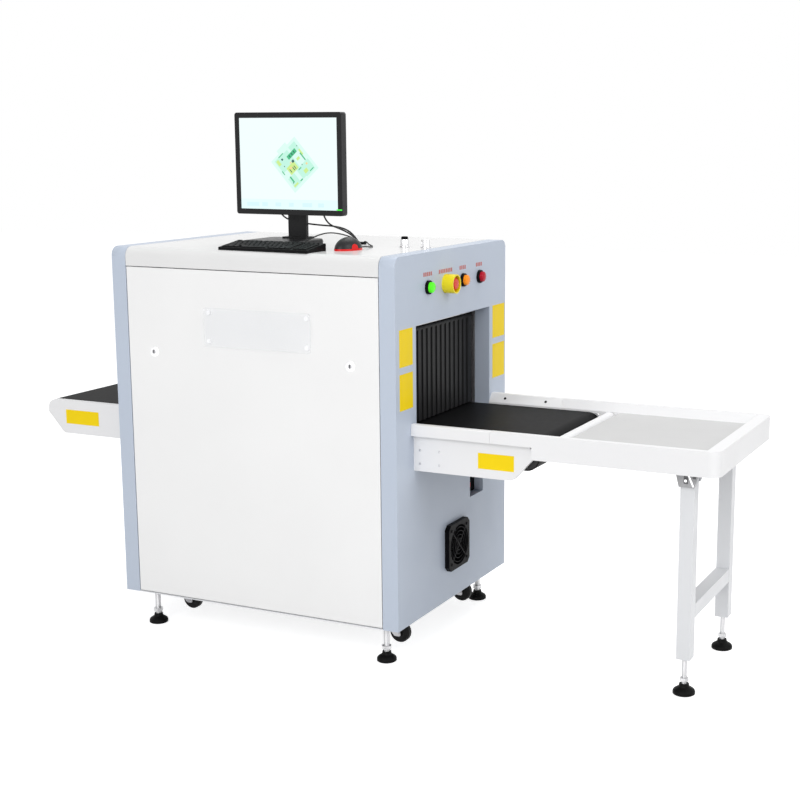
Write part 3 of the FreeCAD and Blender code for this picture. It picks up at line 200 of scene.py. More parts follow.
def spread(tree, value, low, high):
    """Maps the middle of a noise's range to low and high."""
    made = tree.nodes.new("ShaderNodeMapRange")
    made.inputs["From Min"].default_value = 0.3
    made.inputs["From Max"].default_value = 0.7
    made.inputs["To Min"].default_value = low
    made.inputs["To Max"].default_value = high
    tree.links.new(value, made.inputs["Value"])
    return made.outputs["Result"]


def bump(tree, bsdf, height, strength, depth):
    made = tree.nodes.new("ShaderNodeBump")
    made.inputs["Strength"].default_value = strength
    made.inputs["Distance"].default_value = depth
    tree.links.new(height, made.inputs["Height"])
    tree.links.new(made.outputs["Normal"], bsdf.inputs["Normal"])


def tint(tree, bsdf, colour, factor, amount):
    """Colour that drifts by a few percent over the surface."""
    mix = tree.nodes.new("ShaderNodeMix")
    mix.data_type = "RGBA"
    mix.inputs["A"].default_value = (*[c * (1 - amount) for c in colour], 1)
    mix.inputs["B"].default_value = (*[min(1, c * (1 + amount)) for c in colour], 1)
    tree.links.new(factor, mix.inputs["Factor"])
    tree.links.new(mix.outputs["Result"], bsdf.inputs["Base Color"])


def powder_coat(name, colour, roughness=0.40, peel=0.10, wander=0.045):
    """Baked paint on sheet steel: a fine orange peel and a faint drift in tone."""
    made, tree, bsdf = finish(name, colour, roughness, gloss=0.35)
    tint(tree, bsdf, colour, spread(tree, noise(tree, 3.0), 0, 1), 0.012)
    if wander:
        patches = spread(tree, noise(tree, 14.0), roughness - wander, roughness + wander)
        tree.links.new(patches, bsdf.inputs["Roughness"])
    bump(tree, bsdf, noise(tree, 900.0), peel, 0.0004)
    return made


def metal(name, colour, roughness, grain=(1, 1, 1), scale=260.0):
    """Bare or plated metal with a drawn grain."""
    made, tree, bsdf = finish(name, colour, roughness, 1.0)
    streak = noise(tree, scale, 4.0, grain)
    tree.links.new(spread(tree, streak, roughness - 0.07, roughness + 0.1), bsdf.inputs["Roughness"])
    bump(tree, bsdf, streak, 0.08, 0.0002)
    return made


def moulded(name, colour, roughness=0.45, grain=0.16, gloss=0.4, glow=0.0, drift=0.04, wander=0.06):
    """Moulded plastic or rubber with a fine spark texture, lit from inside where it glows."""
    made, tree, bsdf = finish(name, colour, roughness, gloss=gloss)
    tint(tree, bsdf, colour, spread(tree, noise(tree, 30.0), 0, 1), drift)
    patches = spread(tree, noise(tree, 60.0), roughness - wander, roughness + wander)
    tree.links.new(patches, bsdf.inputs["Roughness"])
    bump(tree, bsdf, noise(tree, SPARK_SCALE), grain, 0.0003)
    bsdf.inputs["Emission Color"].default_value = (*colour, 1)
    bsdf.inputs["Emission Strength"].default_value = glow
    return made


def threaded(name, colour, roughness):
    """Plated steel with a screw thread drawn as fine rings."""
    made, tree, bsdf = finish(name, colour, roughness, 1.0)
    place = tree.nodes.new("ShaderNodeTexCoord")
    wave = tree.nodes.new("ShaderNodeTexWave")
    wave.bands_direction = "Z"
    wave.inputs["Scale"].default_value = 180.0
    wave.inputs["Distortion"].default_value = 0.0
    tree.links.new(place.outputs["Object"], wave.inputs["Vector"])
    bump(tree, bsdf, wave.outputs["Fac"], 0.5, 0.0008)
    return made


def clear_sheet(name):
    """Clear acrylic: mostly see-through, with a faint grey body and sharp reflections."""
    made, tree, bsdf = finish(name, (0.90, 0.92, 0.95), 0.06)
    edge = tree.nodes.new("ShaderNodeLayerWeight")
    edge.inputs["Blend"].default_value = 0.25
    alpha = tree.nodes.new("ShaderNodeMapRange")
    alpha.inputs["To Min"].default_value = 0.07
    alpha.inputs["To Max"].default_value = 0.70
    tree.links.new(edge.outputs["Facing"], alpha.inputs["Value"])
    tree.links.new(alpha.outputs["Result"], bsdf.inputs["Alpha"])
    return made


def glowing(name, colour, strength=1.0):
    """A lit patch of the screen: its own light, with a faint surface gloss."""
    made, tree, bsdf = finish(name, (0.02, 0.02, 0.02), 0.3, gloss=0.3)
    bsdf.inputs["Emission Color"].default_value = (*colour, 1)
    bsdf.inputs["Emission Strength"].default_value = strength
    return made


def two_tone(name, black, red, seam, spot, reach):
    """Black plastic that is red under a seam's height and inside a round patch on one side."""
    made, tree, bsdf = finish(name, black, 0.36, gloss=0.3)
    place = tree.nodes.new("ShaderNodeTexCoord")
    split = tree.nodes.new("ShaderNodeSeparateXYZ")
    tree.links.new(place.outputs["Object"], split.inputs["Vector"])
    under = tree.nodes.new("ShaderNodeMath")
    under.operation = "LESS_THAN"
    under.inputs[1].default_value = seam
    tree.links.new(split.outputs["Z"], under.inputs[0])
    away = tree.nodes.new("ShaderNodeVectorMath")
    away.operation = "DISTANCE"
    away.inputs[1].default_value = spot
    tree.links.new(place.outputs["Object"], away.inputs[0])
    near = tree.nodes.new("ShaderNodeMath")
    near.operation = "LESS_THAN"
    near.inputs[1].default_value = reach
    tree.links.new(away.outputs["Value"], near.inputs[0])
    both = tree.nodes.new("ShaderNodeMath")
    both.operation = "MAXIMUM"
    tree.links.new(under.outputs[0], both.inputs[0])
    tree.links.new(near.outputs[0], both.inputs[1])
    mix = tree.nodes.new("ShaderNodeMix")
    mix.data_type = "RGBA"
    mix.inputs["A"].default_value = (*black, 1)
    mix.inputs["B"].default_value = (*red, 1)
    tree.links.new(both.outputs[0], mix.inputs["Factor"])
    tree.links.new(mix.outputs["Result"], bsdf.inputs["Base Color"])
    return made


PAINTS = {
    "cap_paint": powder_coat("cap_paint", (0.50, 0.56, 0.66)),
    "panel_paint": powder_coat("panel_paint", (0.87, 0.87, 0.87)),
    "frame_paint": powder_coat("frame_paint", (0.74, 0.75, 0.77)),
    "rail_paint": powder_coat("rail_paint", (0.83, 0.83, 0.84)),
    "tray_sheet": powder_coat("tray_sheet", (0.59, 0.59, 0.59), 0.5),
    "belt_rubber": moulded(
        "belt_rubber", (0.006, 0.006, 0.0065), 0.5, 0.06, gloss=0.04, drift=0.03, wander=0.01),
    "drum_black": moulded("drum_black", (0.012, 0.012, 0.013), 0.5),
    "curtain_rubber": moulded(
        "curtain_rubber", (0.015, 0.015, 0.016), 0.45, gloss=0.14, wander=0.02),
    "steel": metal("zinc_steel", (0.62, 0.62, 0.64), 0.34),
    "chrome": metal("chrome", (0.78, 0.78, 0.79), 0.14),
    "foot_rubber": moulded("foot_rubber", (0.003, 0.003, 0.003), 0.5, gloss=0.1),
    "caster_black": moulded("caster_black", (0.006, 0.006, 0.006), 0.5, gloss=0.15),
    "caster_steel": metal("caster_steel", (0.5, 0.5, 0.52), 0.4),
    "black_plastic": moulded("black_plastic", (0.004, 0.004, 0.005), 0.42, gloss=0.05),
    "lens_green": moulded("lens_green", (0.08, 0.72, 0.015), 0.16, 0.02, gloss=0.2, glow=0.4),
    "lens_orange": moulded("lens_orange", (0.98, 0.29, 0.01), 0.16, 0.02, gloss=0.2, glow=0.1),
    "lens_red": moulded("lens_red", (0.46, 0.010, 0.025), 0.16, 0.02, gloss=0.15, glow=0.03),
    "stop_yellow": moulded("stop_yellow", (0.88, 0.74, 0.01), 0.32, 0.05),
    "stop_red": moulded("stop_red", (0.72, 0.03, 0.005), 0.28, 0.05),
    "acrylic": clear_sheet("acrylic"),
    "screen_black": moulded("screen_black", (0.009, 0.009, 0.010), 0.36, gloss=0.24),
    "screen_glass": glowing("screen_glass", (0.88, 0.99, 0.99), 0.98),
    "keys_black": moulded("keys_black", (0.005, 0.005, 0.0055), 0.45, gloss=0.08),
    "mouse_red": moulded("mouse_red", (0.62, 0.008, 0.008), 0.22, 0.04),
    "cord_black": moulded("cord_black", (0.008, 0.008, 0.009), 0.45),
}
THREAD = threaded("thread", (0.60, 0.60, 0.61), 0.28)
STICKER = moulded("sticker_yellow", (0.92, 0.67, 0.004), 0.40, 0.02, gloss=0.15, drift=0.01)
DECK_PAINT = powder_coat("deck_paint", (0.77, 0.77, 0.77), 0.24, 0.03, 0.0)
CAPTION = moulded("caption_red", (0.48, 0.14, 0.13), 0.5, 0.02)
BRIGHT = metal("bright_steel", (0.92, 0.92, 0.93), 0.30)
CHEEK = powder_coat("cheek_paint", (0.42, 0.42, 0.43))
# Painted shade: the dark colour of the bracket slots' films, standing for the shade inside the slots
SLOT = powder_coat("slot_shade", (0.12, 0.12, 0.125))

SOFT_EDGES = {
    "end_cap_right": 0.0016,
    "end_cap_left": 0.0016,
    "front_panel": 0.0010,
    "rear_panel": 0.0010,
    "guard_rails": 0.0012,
    "side_plates": 0.0010,
    "leg_front": 0.0030,
    "leg_rear": 0.0030,
    "leg_crossbar": 0.0030,
    "screen_neck": 0.0015,
    "screen_housing": 0.0022,
    "fan_frame": 0.0010,
    "deck_switches": 0.0012,
}


def dress_nodes():
    """Every CAD node takes the finish of its slot in the record, and some a softer edge."""
    for part in frame["record"]["subparts"]:
        piece = nodes[part["node"]]
        piece.data.materials.clear()
        piece.data.materials.append(PAINTS[part["material_slot"]])
    for name in ("foot_stems", "leg_foot_stems"):
        nodes[name].data.materials[0] = THREAD
    nodes["top_cover"].data.materials[0] = DECK_PAINT
    for name in ("panel_locks", "plate_standoffs"):
        nodes[name].data.materials[0] = BRIGHT
    for name, width in SOFT_EDGES.items():
        weld = nodes[name].modifiers.new("weld", "WELD")
        weld.merge_threshold = 0.00001
        edge = nodes[name].modifiers.new("soft_edge", "BEVEL")
        edge.width = width
        edge.segments = 2
        edge.limit_method = "ANGLE"
        edge.angle_limit = math.radians(40)
        edge.harden_normals = False


# Mesh pieces

def turn_to(axis):
    """The rotation that takes +Z to the axis."""
    return Vector((0, 0, 1)).rotation_difference(Vector(axis)).to_matrix().to_4x4()


def add_box(made, low, high, turn=Matrix()):
    """A box between two corners, turned about its own middle."""
    low, high = Vector(low), Vector(high)
    scale = Matrix.Diagonal((*(high - low), 1))
    bmesh.ops.create_cube(made, size=1, matrix=Matrix.Translation((low + high) / 2) @ turn @ scale)


def add_disc(made, middle, axis, radius, depth, top=None, segments=32):
    """A cylinder or cone about an axis, from a point outward."""
    place = Matrix.Translation(Vector(middle) + Vector(axis) * depth / 2) @ turn_to(axis)
    bmesh.ops.create_cone(
        made, cap_ends=True, segments=segments, radius1=radius,
        radius2=radius if top is None else top, depth=depth, matrix=place)


def lathe(made, middle, axis, profile, segments=40):
    """A closed surface turned about an axis: profile is (radius, distance along the axis)."""
    place = Matrix.Translation(Vector(middle)) @ turn_to(axis)
    rings = []
    for radius, along in profile:
        if radius == 0:
            rings.append([made.verts.new(place @ Vector((0, 0, along)))])
            continue
        rings.append([
            made.verts.new(place @ Vector((radius * math.cos(turn), radius * math.sin(turn), along)))
            for turn in (2 * math.pi * step / segments for step in range(segments))
        ])
    for near, far in zip(rings, rings[1:]):
        for step in range(segments):
            after = (step + 1) % segments
            here = (near[step % len(near)], near[after % len(near)])
            there = (far[after % len(far)], far[step % len(far)])
            made.faces.new(list(dict.fromkeys(here + there)))


def finish_piece(made, name, slot, material=None, edge=0.0, body="cabinet", angle=35):
    """Turns a bmesh into a piece of the scene with smooth faces and sharp corners."""
    mesh = bpy.data.meshes.new(name)
    made.to_mesh(mesh)
    made.free()
    mesh.shade_smooth()
    mesh.set_sharp_from_angle(angle=math.radians(angle))
    piece = bpy.data.objects.new(name, mesh)
    bpy.context.scene.collection.objects.link(piece)
    mesh.materials.append(material or PAINTS[slot])
    if edge:
        soft = piece.modifiers.new("soft_edge", "BEVEL")
        soft.width = edge
        soft.segments = 2
        soft.limit_method = "ANGLE"
        soft.angle_limit = math.radians(40)
    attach(piece, body)
    return piece


# Stickers and captions on the painted steel

STICKERS_LEFT = ((-0.348, -0.268, 0.876, 0.981), (-0.348, -0.268, 0.753, 0.856))
STICKERS_RIGHT = ((0.282, 0.373, 0.880, 0.983), (0.282, 0.373, 0.752, 0.860))
PLATE_STICKER_RIGHT = (0.2016, 0.311, 0.594, 0.639)
PLATE_STICKER_LEFT = (-0.296, -0.166, 0.600, 0.645)
CAPTION_RISE = 0.032
CAPTION_MARKS = {"lamp_green": 5, "stop_collar": 8, "lamp_orange": 4, "lamp_red": 4}
MARK_PITCH = 0.0115
MARK_SIZE = (0.0080, 0.0115)


def stickers():
    """Bare yellow film beside the mouth and on the front side plates."""
    made = bmesh.new()
    for y_low, y_high, z_low, z_high in STICKERS_LEFT + STICKERS_RIGHT:
        add_box(made, (RIGHT, y_low, z_low), (RIGHT + FILM, y_high, z_high))
    x_low, x_high, z_low, z_high = PLATE_STICKER_RIGHT
    add_box(made, (RIGHT + x_low, PLATE_FRONT - FILM, z_low), (RIGHT + x_high, PLATE_FRONT, z_high))
    x_low, x_high, z_low, z_high = PLATE_STICKER_LEFT
    add_box(made, (LEFT + x_low, PLATE_FRONT - FILM, z_low), (LEFT + x_high, PLATE_FRONT, z_high))
    finish_piece(made, "stickers", "stop_yellow", STICKER)


def captions():
    """A row of plain red strokes over each lamp."""
    made = bmesh.new()
    for name, count in CAPTION_MARKS.items():
        low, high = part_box(name)
        y = (low[1] + high[1]) / 2
        z = (low[2] + high[2]) / 2 + CAPTION_RISE
        for index in range(count):
            start = y + (index - count / 2) * MARK_PITCH
            add_box(made, (RIGHT, start, z), (RIGHT + FILM / 2, start + MARK_SIZE[0], z + MARK_SIZE[1]))
    finish_piece(made, "lamp_captions", "stop_red", CAPTION)


# Screws

PLATE_SCREWS = ((0.0200, 0.629), (0.0806, 0.629), (0.0200, 0.590), (0.0806, 0.590))
SCREW_RADIUS = 0.0036
SCREW_HEIGHT = 0.0020
FAN_SCREW_INSET = 0.0195
FAN_SCREW_SIZE = (0.0050, 0.0026)
RAIL_SCREW_SIZE = (0.0042, 0.0016)
RAIL_SCREWS = (0.052, 0.190)
RAIL_SCREW_INSET = 0.029
RAIL_SCREW_HEIGHT = 0.6925
RAIL_SCREW_LEAN = math.radians(52)


def add_screw(made, place, axis, radius=SCREW_RADIUS, height=SCREW_HEIGHT):
    """A pan head: a short cylinder with a domed top."""
    axis = Vector(axis)
    add_disc(made, place, axis, radius, height * 0.5, segments=20)
    add_disc(made, Vector(place) + axis * height * 0.5, axis, radius, height * 0.5, radius * 0.72, 20)


def screws():
    """Pan heads on all four side plates, on both guard rails and on the fan's corners."""
    made = bmesh.new()
    for along, up in PLATE_SCREWS:
        for x in (RIGHT + along, LEFT - along):
            add_screw(made, (x, PLATE_FRONT, up), (0, -1, 0))
            add_screw(made, (x, PLATE_REAR, up), (0, 1, 0))
    finish_piece(made, "plate_screws", "steel")
    low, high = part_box("guard_rails")
    tilt = Vector((0, -math.sin(RAIL_SCREW_LEAN), math.cos(RAIL_SCREW_LEAN)))
    made = bmesh.new()
    for along in RAIL_SCREWS:
        for side in (-1, 1):
            y = MIDDLE + side * (high[1] - MIDDLE - RAIL_SCREW_INSET)
            place = (RIGHT + along, y, RAIL_SCREW_HEIGHT)
            add_screw(made, place, (0, side * tilt.y, tilt.z), *RAIL_SCREW_SIZE)
    finish_piece(made, "rail_screws", "black_plastic")
    made = bmesh.new()
    low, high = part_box("fan_frame")
    for y in (low[1] + FAN_SCREW_INSET, high[1] - FAN_SCREW_INSET):
        for z in (low[2] + FAN_SCREW_INSET, high[2] - FAN_SCREW_INSET):
            add_screw(made, (high[0], y, z), (1, 0, 0), *FAN_SCREW_SIZE)
    finish_piece(made, "fan_screws", "black_plastic")


# Screen

LIGHT_WIDTH = 0.019
LIGHT_HEIGHT = 0.0036
LIGHT_INSET = (0.0205, 0.0165)
LIGHT_PROUD = 0.0004
LIGHT_COLOUR = (0.05, 0.9, 0.05)
LIGHT_STRENGTH = 1.2
FILM_STEP = 0.00008
STRIP_SHARE = 0.11
BUTTONS = ((0.06, 0.13), (0.22, 0.06), (0.36, 0.06), (0.50, 0.05), (0.64, 0.10), (0.80, 0.06))
BUTTON_RISE = 0.030
BUTTON_HEIGHT = 0.045
STRIP_COLOUR = (0.78, 0.97, 0.97)
BUTTON_COLOUR = (0.68, 0.92, 0.97)
SCAN_TURN = math.radians(-42)
SCAN_MIDDLE = (0.57, 0.49)
SCAN_COLOURS = {
    "scan_pale": (0.70, 0.95, 0.88),
    "scan_mist": (0.52, 0.90, 0.74),
    "scan_lime": (0.60, 0.84, 0.25),
    "scan_green": (0.05, 0.50, 0.22),
    "scan_dark": (0.01, 0.10, 0.09),
    "scan_orange": (0.92, 0.66, 0.30),
}
SCAN_PLAN = {
    "scan_pale": ((0, 0, 0.112, 0.122, 1), (0, 0.066, 0.040, 0.010, 1)),
    "scan_mist": ((-0.026, 0.030, 0.040, 0.046, 2), (0.028, -0.034, 0.038, 0.038, 2),
                  (0.032, 0.038, 0.028, 0.028, 2), (-0.032, -0.034, 0.028, 0.036, 2),
                  (0.002, 0.000, 0.016, 0.100, 2)),
    "scan_lime": ((-0.012, -0.002, 0.034, 0.026, 3), (0.018, -0.038, 0.014, 0.012, 3),
                  (-0.038, 0.040, 0.010, 0.018, 3), (0.042, 0.014, 0.006, 0.020, 3),
                  (-0.036, -0.046, 0.018, 0.006, 3), (0.022, 0.006, 0.012, 0.008, 3)),
    "scan_green": ((0.014, 0.030, 0.038, 0.013, 4), (-0.036, -0.026, 0.005, 0.022, 4),
                   (0.038, 0.000, 0.004, 0.028, 4), (0.006, -0.020, 0.012, 0.003, 4),
                   (-0.018, 0.052, 0.020, 0.003, 4), (0.036, -0.048, 0.016, 0.003, 4),
                   (-0.046, 0.008, 0.003, 0.014, 4), (-0.012, -0.048, 0.010, 0.004, 4)),
    "scan_orange": ((-0.016, 0.002, 0.008, 0.006, 5), (0.034, -0.024, 0.006, 0.006, 5),
                    (-0.006, 0.014, 0.006, 0.004, 5)),
    "scan_dark": ((0.003, 0.012, 0.008, 0.008, 5), (-0.022, 0.040, 0.006, 0.006, 5),
                  (0.004, 0.030, 0.003, 0.008, 5), (0.014, 0.030, 0.003, 0.008, 5),
                  (0.024, 0.030, 0.003, 0.008, 5), (-0.022, -0.004, 0.0025, 0.012, 5),
                  (-0.010, -0.006, 0.0025, 0.012, 5), (-0.004, -0.006, 0.0025, 0.012, 5),
                  (0.020, -0.016, 0.003, 0.003, 5), (-0.030, 0.020, 0.003, 0.003, 5),
                  (0.044, 0.036, 0.003, 0.003, 5), (-0.040, -0.036, 0.003, 0.003, 5)),
}


def screen_picture():
    """A made-up scan on the lit panel: a tilted bag with things in it, over a pale tool strip."""
    low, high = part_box("screen_glass")
    face = low[1]
    width = high[0] - low[0]
    height = high[2] - low[2]
    spin = Matrix.Rotation(SCAN_TURN, 4, "Y")
    middle = Vector((low[0] + width * SCAN_MIDDLE[0], 0, low[2] + height * SCAN_MIDDLE[1]))
    for name, patches in SCAN_PLAN.items():
        made = bmesh.new()
        for x, z, wide, tall, layer in patches:
            spot = middle + spin @ Vector((x, 0, z))
            y = face - FILM_STEP * layer
            add_box(made, (spot.x - wide / 2, y - FILM_STEP / 2, spot.z - tall / 2),
                    (spot.x + wide / 2, y, spot.z + tall / 2), spin)
        finish_piece(made, name, "screen_glass", glowing(name, SCAN_COLOURS[name]), body="screen")
    made = bmesh.new()
    add_box(made, (low[0], face - FILM_STEP, low[2]), (high[0], face, low[2] + height * STRIP_SHARE))
    lit = glowing("screen_strip", STRIP_COLOUR)
    finish_piece(made, "screen_strip", "screen_glass", lit, body="screen")
    made = bmesh.new()
    z = low[2] + height * BUTTON_RISE
    near, far = face - 2 * FILM_STEP, face - 1.25 * FILM_STEP
    for share, wide in BUTTONS:
        x = low[0] + width * share
        add_box(made, (x, near, z), (x + width * wide, far, z + height * BUTTON_HEIGHT))
    lit = glowing("screen_buttons", BUTTON_COLOUR)
    finish_piece(made, "screen_buttons", "screen_glass", lit, body="screen")


def screen_light():
    """The green power light on the lower rim."""
    low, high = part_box("screen_housing")
    made = bmesh.new()
    x = high[0] - LIGHT_INSET[0]
    z = low[2] + LIGHT_INSET[1]
    add_box(made, (x, low[1] - LIGHT_PROUD, z), (x + LIGHT_WIDTH, low[1], z + LIGHT_HEIGHT))
    lit = glowing("screen_light", LIGHT_COLOUR, LIGHT_STRENGTH)
    finish_piece(made, "screen_light", "lens_green", lit, body="screen")


# Keyboard, mouse and stand

STAND_X = (-0.390, -0.198)
STAND_Y = (-0.226, -0.030)
STAND_TOP = DECK + 0.018
STAND_ROUND = 0.030
STAND_EDGE = 0.007
SOCKET_MARGIN = 0.004
SOCKET_REAR = -0.034
SOCKET_RISE = 0.005
KEYS_MIDDLE = (-0.222, FRONT + 0.070)
KEYS_SIZE = (0.304, 0.100)
KEYS_RISE = (0.008, 0.022)
KEYS_TURN = math.radians(-1.5)
KEY_MARGIN = 0.007
KEY_HEIGHT = 0.0030
KEY_GAP = 0.0015
KEY_TAPER = 0.86
KEY_ROWS = (
    (1, 0.5, 1, 1, 1, 1, 0.5, 1, 1, 1, 1, 0.5, 1, 1, 1, 1, 0.5, 1, 1, 1),
    (1, 1, 1, 1, 1, 1, 1, 1, 1, 1, 1, 1, 1, 2, 0.5, 1, 1, 1),
    (1.5, 1, 1, 1, 1, 1, 1, 1, 1, 1, 1, 1, 1, 1.5, 0.5, 1, 1, 1),
    (1.75, 1, 1, 1, 1, 1, 1, 1, 1, 1, 1, 1, 2.25, 0.5, 1, 1, 1),
    (2.25, 1, 1, 1, 1, 1, 1, 1, 1, 1, 1, 2.75, 0.5, 1, 1, 1),
    (1.25, 1.25, 1.25, 6.25, 1.25, 1.25, 1.25, 1.25, 0.5, 1, 1, 1),
)
KEY_UNITS = 18.5


def keyboard_keys():
    """Six rows of tapered caps on the sloping case; a width of a half is a gap."""
    made = bmesh.new()
    slope = math.atan2(KEYS_RISE[1] - KEYS_RISE[0], KEYS_SIZE[1])
    place = (
        Matrix.Translation((KEYS_MIDDLE[0], KEYS_MIDDLE[1], DECK))
        @ Matrix.Rotation(KEYS_TURN, 4, "Z")
        @ Matrix.Translation((0, -KEYS_SIZE[1] / 2, KEYS_RISE[0]))
        @ Matrix.Rotation(slope, 4, "X")
    )
    unit = (KEYS_SIZE[0] - 2 * KEY_MARGIN) / KEY_UNITS
    pitch = (KEYS_SIZE[1] - 2 * KEY_MARGIN) / len(KEY_ROWS)
    for row, widths in enumerate(KEY_ROWS):
        x = -KEYS_SIZE[0] / 2 + KEY_MARGIN
        y = KEYS_SIZE[1] - KEY_MARGIN - (row + 0.5) * pitch
        for width in widths:
            span = width * unit
            if width > 0.5:
                spot = place @ Matrix.Translation((x + span / 2, y, KEY_HEIGHT / 2))
                cap = bmesh.ops.create_cube(made, size=1, matrix=spot @ Matrix.Diagonal(
                    (span - KEY_GAP, pitch - KEY_GAP, KEY_HEIGHT, 1)))
                lift = place.to_3x3() @ Vector((0, 0, 1))
                top = [v for v in cap["verts"] if (v.co - spot.translation).dot(lift) > 0]
                middle = sum((v.co for v in top), Vector()) / len(top)
                for vertex in top:
                    vertex.co = middle + (vertex.co - middle) * KEY_TAPER
            x += span
    finish_piece(made, "keyboard_keys", "keys_black")


MOUSE_MIDDLE = (-0.026, FRONT + 0.170)
MOUSE_SIZE = (0.100, 0.058, 0.038)
MOUSE_TURN = Matrix.Rotation(math.radians(75), 3, "Z")
MOUSE_BLACK = (0.010, 0.010, 0.011)
MOUSE_RED = (0.66, 0.006, 0.006)
MOUSE_SEAM = 0.0055
MOUSE_PATCH = (0.000, -0.032, 0.0075)
MOUSE_PATCH_REACH = 0.0135
MOUSE_WHEEL = (0.026, 0, 0.027)
WHEEL_RADIUS = 0.0075
WHEEL_WIDTH = 0.006
SPLIT_START = 0.012
SPLIT_LENGTH = 0.036
SPLIT_STEPS = 10
SPLIT_HALF = 0.0005
SPLIT_RISE = 0.0002


def on_mouse(local):
    """A point given in the mouse's own frame, from the middle of its underside."""
    return MOUSE_TURN @ Vector(local) + Vector((*MOUSE_MIDDLE, DECK))


def mouse_details():
    """Two-tone shell, a wheel, and the split between the two buttons."""
    paint = two_tone("mouse_paint", MOUSE_BLACK, MOUSE_RED,
                     DECK + MOUSE_SEAM, on_mouse(MOUSE_PATCH), MOUSE_PATCH_REACH)
    for name in ("mouse_shell", "mouse_base"):
        nodes[name].data.materials[0] = paint
    side = MOUSE_TURN @ Vector((0, 1, 0))
    made = bmesh.new()
    start = on_mouse(MOUSE_WHEEL) - side * WHEEL_WIDTH / 2
    add_disc(made, start, side, WHEEL_RADIUS, WHEEL_WIDTH, segments=28)
    finish_piece(made, "mouse_wheel", "black_plastic", edge=0.0008)
    made = bmesh.new()
    rows = []
    for step in range(SPLIT_STEPS + 1):
        along = SPLIT_START + SPLIT_LENGTH * step / SPLIT_STEPS
        rise = MOUSE_SIZE[2] * math.sqrt(max(0, 1 - (along / (MOUSE_SIZE[0] / 2)) ** 2)) + SPLIT_RISE
        rows.append([on_mouse((along, sideways, rise)) for sideways in (-SPLIT_HALF, SPLIT_HALF)])
    grid = [[made.verts.new(point) for point in row] for row in rows]
    for near, far in zip(grid, grid[1:]):
        made.faces.new((near[0], far[0], far[1], near[1]))
    finish_piece(made, "mouse_split", "black_plastic")


def screen_foot():
    """The stand's foot as a low rounded slab in place of the plain dome, with its raised socket."""
    neck_low, neck_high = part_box("screen_neck")
    made = bmesh.new()
    add_box(made, (STAND_X[0], STAND_Y[0], DECK), (STAND_X[1], STAND_Y[1], STAND_TOP))
    upright = [edge for edge in made.edges if abs(edge.verts[0].co.z - edge.verts[1].co.z) > 0.01]
    bmesh.ops.bevel(made, geom=upright, offset=STAND_ROUND, segments=10, affect="EDGES", profile=0.5)
    rim = [edge for edge in made.edges if min(v.co.z for v in edge.verts) > STAND_TOP - 0.001]
    bmesh.ops.bevel(made, geom=rim, offset=STAND_EDGE, segments=4, affect="EDGES", profile=0.5)
    add_box(made, (neck_low[0] - SOCKET_MARGIN, neck_low[1] - SOCKET_MARGIN, STAND_TOP - 0.002),
            (neck_high[0] + SOCKET_MARGIN, SOCKET_REAR, STAND_TOP + SOCKET_RISE))
    foot = finish_piece(made, "screen_foot", "screen_black")
    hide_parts("screen_stand")


# Lamps, as (radius, distance out of the cap)

LENS_PROFILE = (
    (0, 0.0), (0.0155, 0.0), (0.0155, 0.0080), (0.0150, 0.0105),
    (0.0130, 0.0122), (0.0070, 0.0133), (0, 0.0137),
)
LENS_SEAT = 0.0060
BEZEL_PROFILE = (
    (0, 0.0), (0.0200, 0.0), (0.0200, 0.0070), (0.0190, 0.0085),
    (0.0158, 0.0085), (0.0158, LENS_SEAT), (0, LENS_SEAT),
)


def lamp_faces():
    """Domed lenses in stepped black rings, in place of the plain ones."""
    rings = bmesh.new()
    for name in ("lamp_green", "lamp_orange", "lamp_red"):
        low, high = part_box(name)
        middle = (RIGHT, (low[1] + high[1]) / 2, (low[2] + high[2]) / 2)
        lathe(rings, middle, (1, 0, 0), BEZEL_PROFILE)
        made = bmesh.new()
        lathe(made, (RIGHT + LENS_SEAT, middle[1], middle[2]), (1, 0, 0), LENS_PROFILE)
        bmesh.ops.recalc_face_normals(made, faces=made.faces)
        lens = finish_piece(made, f"{name}_lens", name.replace("lamp", "lens"))
        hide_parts(name)
    bmesh.ops.recalc_face_normals(rings, faces=rings.faces)
    bezel = finish_piece(rings, "lamp_rings", "black_plastic")
    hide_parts("lamp_bezels")


# Deck switches and locks

KEY_TOP_RADIUS = 0.0105
KEY_TOP_RISE = 0.0050
KEY_TOP_DOME = 0.0030
KEY_TOP_CROWN = 0.0085
PALE_TOP_RADIUS = 0.0095
PALE_TOP_RISE = 0.0012
LOCK_FACE_SHARE = 0.46
LOCK_FACE_DEPTH = 0.0004
LOCK_SLOT_HALF = (0.0014, 0.0052)


def switches():
    """A black key top on the left switch and a pale centre in the right one."""
    low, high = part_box("deck_switches")
    radius = (high[1] - low[1]) / 2
    y = (low[1] + high[1]) / 2
    left = low[0] + radius
    right = high[0] - radius
    made = bmesh.new()
    add_disc(made, (left, y, high[2]), (0, 0, 1), KEY_TOP_RADIUS, KEY_TOP_RISE, segments=40)
    dome = (left, y, high[2] + KEY_TOP_RISE)
    add_disc(made, dome, (0, 0, 1), KEY_TOP_RADIUS, KEY_TOP_DOME, KEY_TOP_CROWN, 40)
    finish_piece(made, "switch_top_left", "black_plastic", edge=0.0005)
    made = bmesh.new()
    add_disc(made, (right, y, high[2]), (0, 0, 1), PALE_TOP_RADIUS, PALE_TOP_RISE, segments=40)
    finish_piece(made, "switch_top_right", "panel_paint", edge=0.0004)


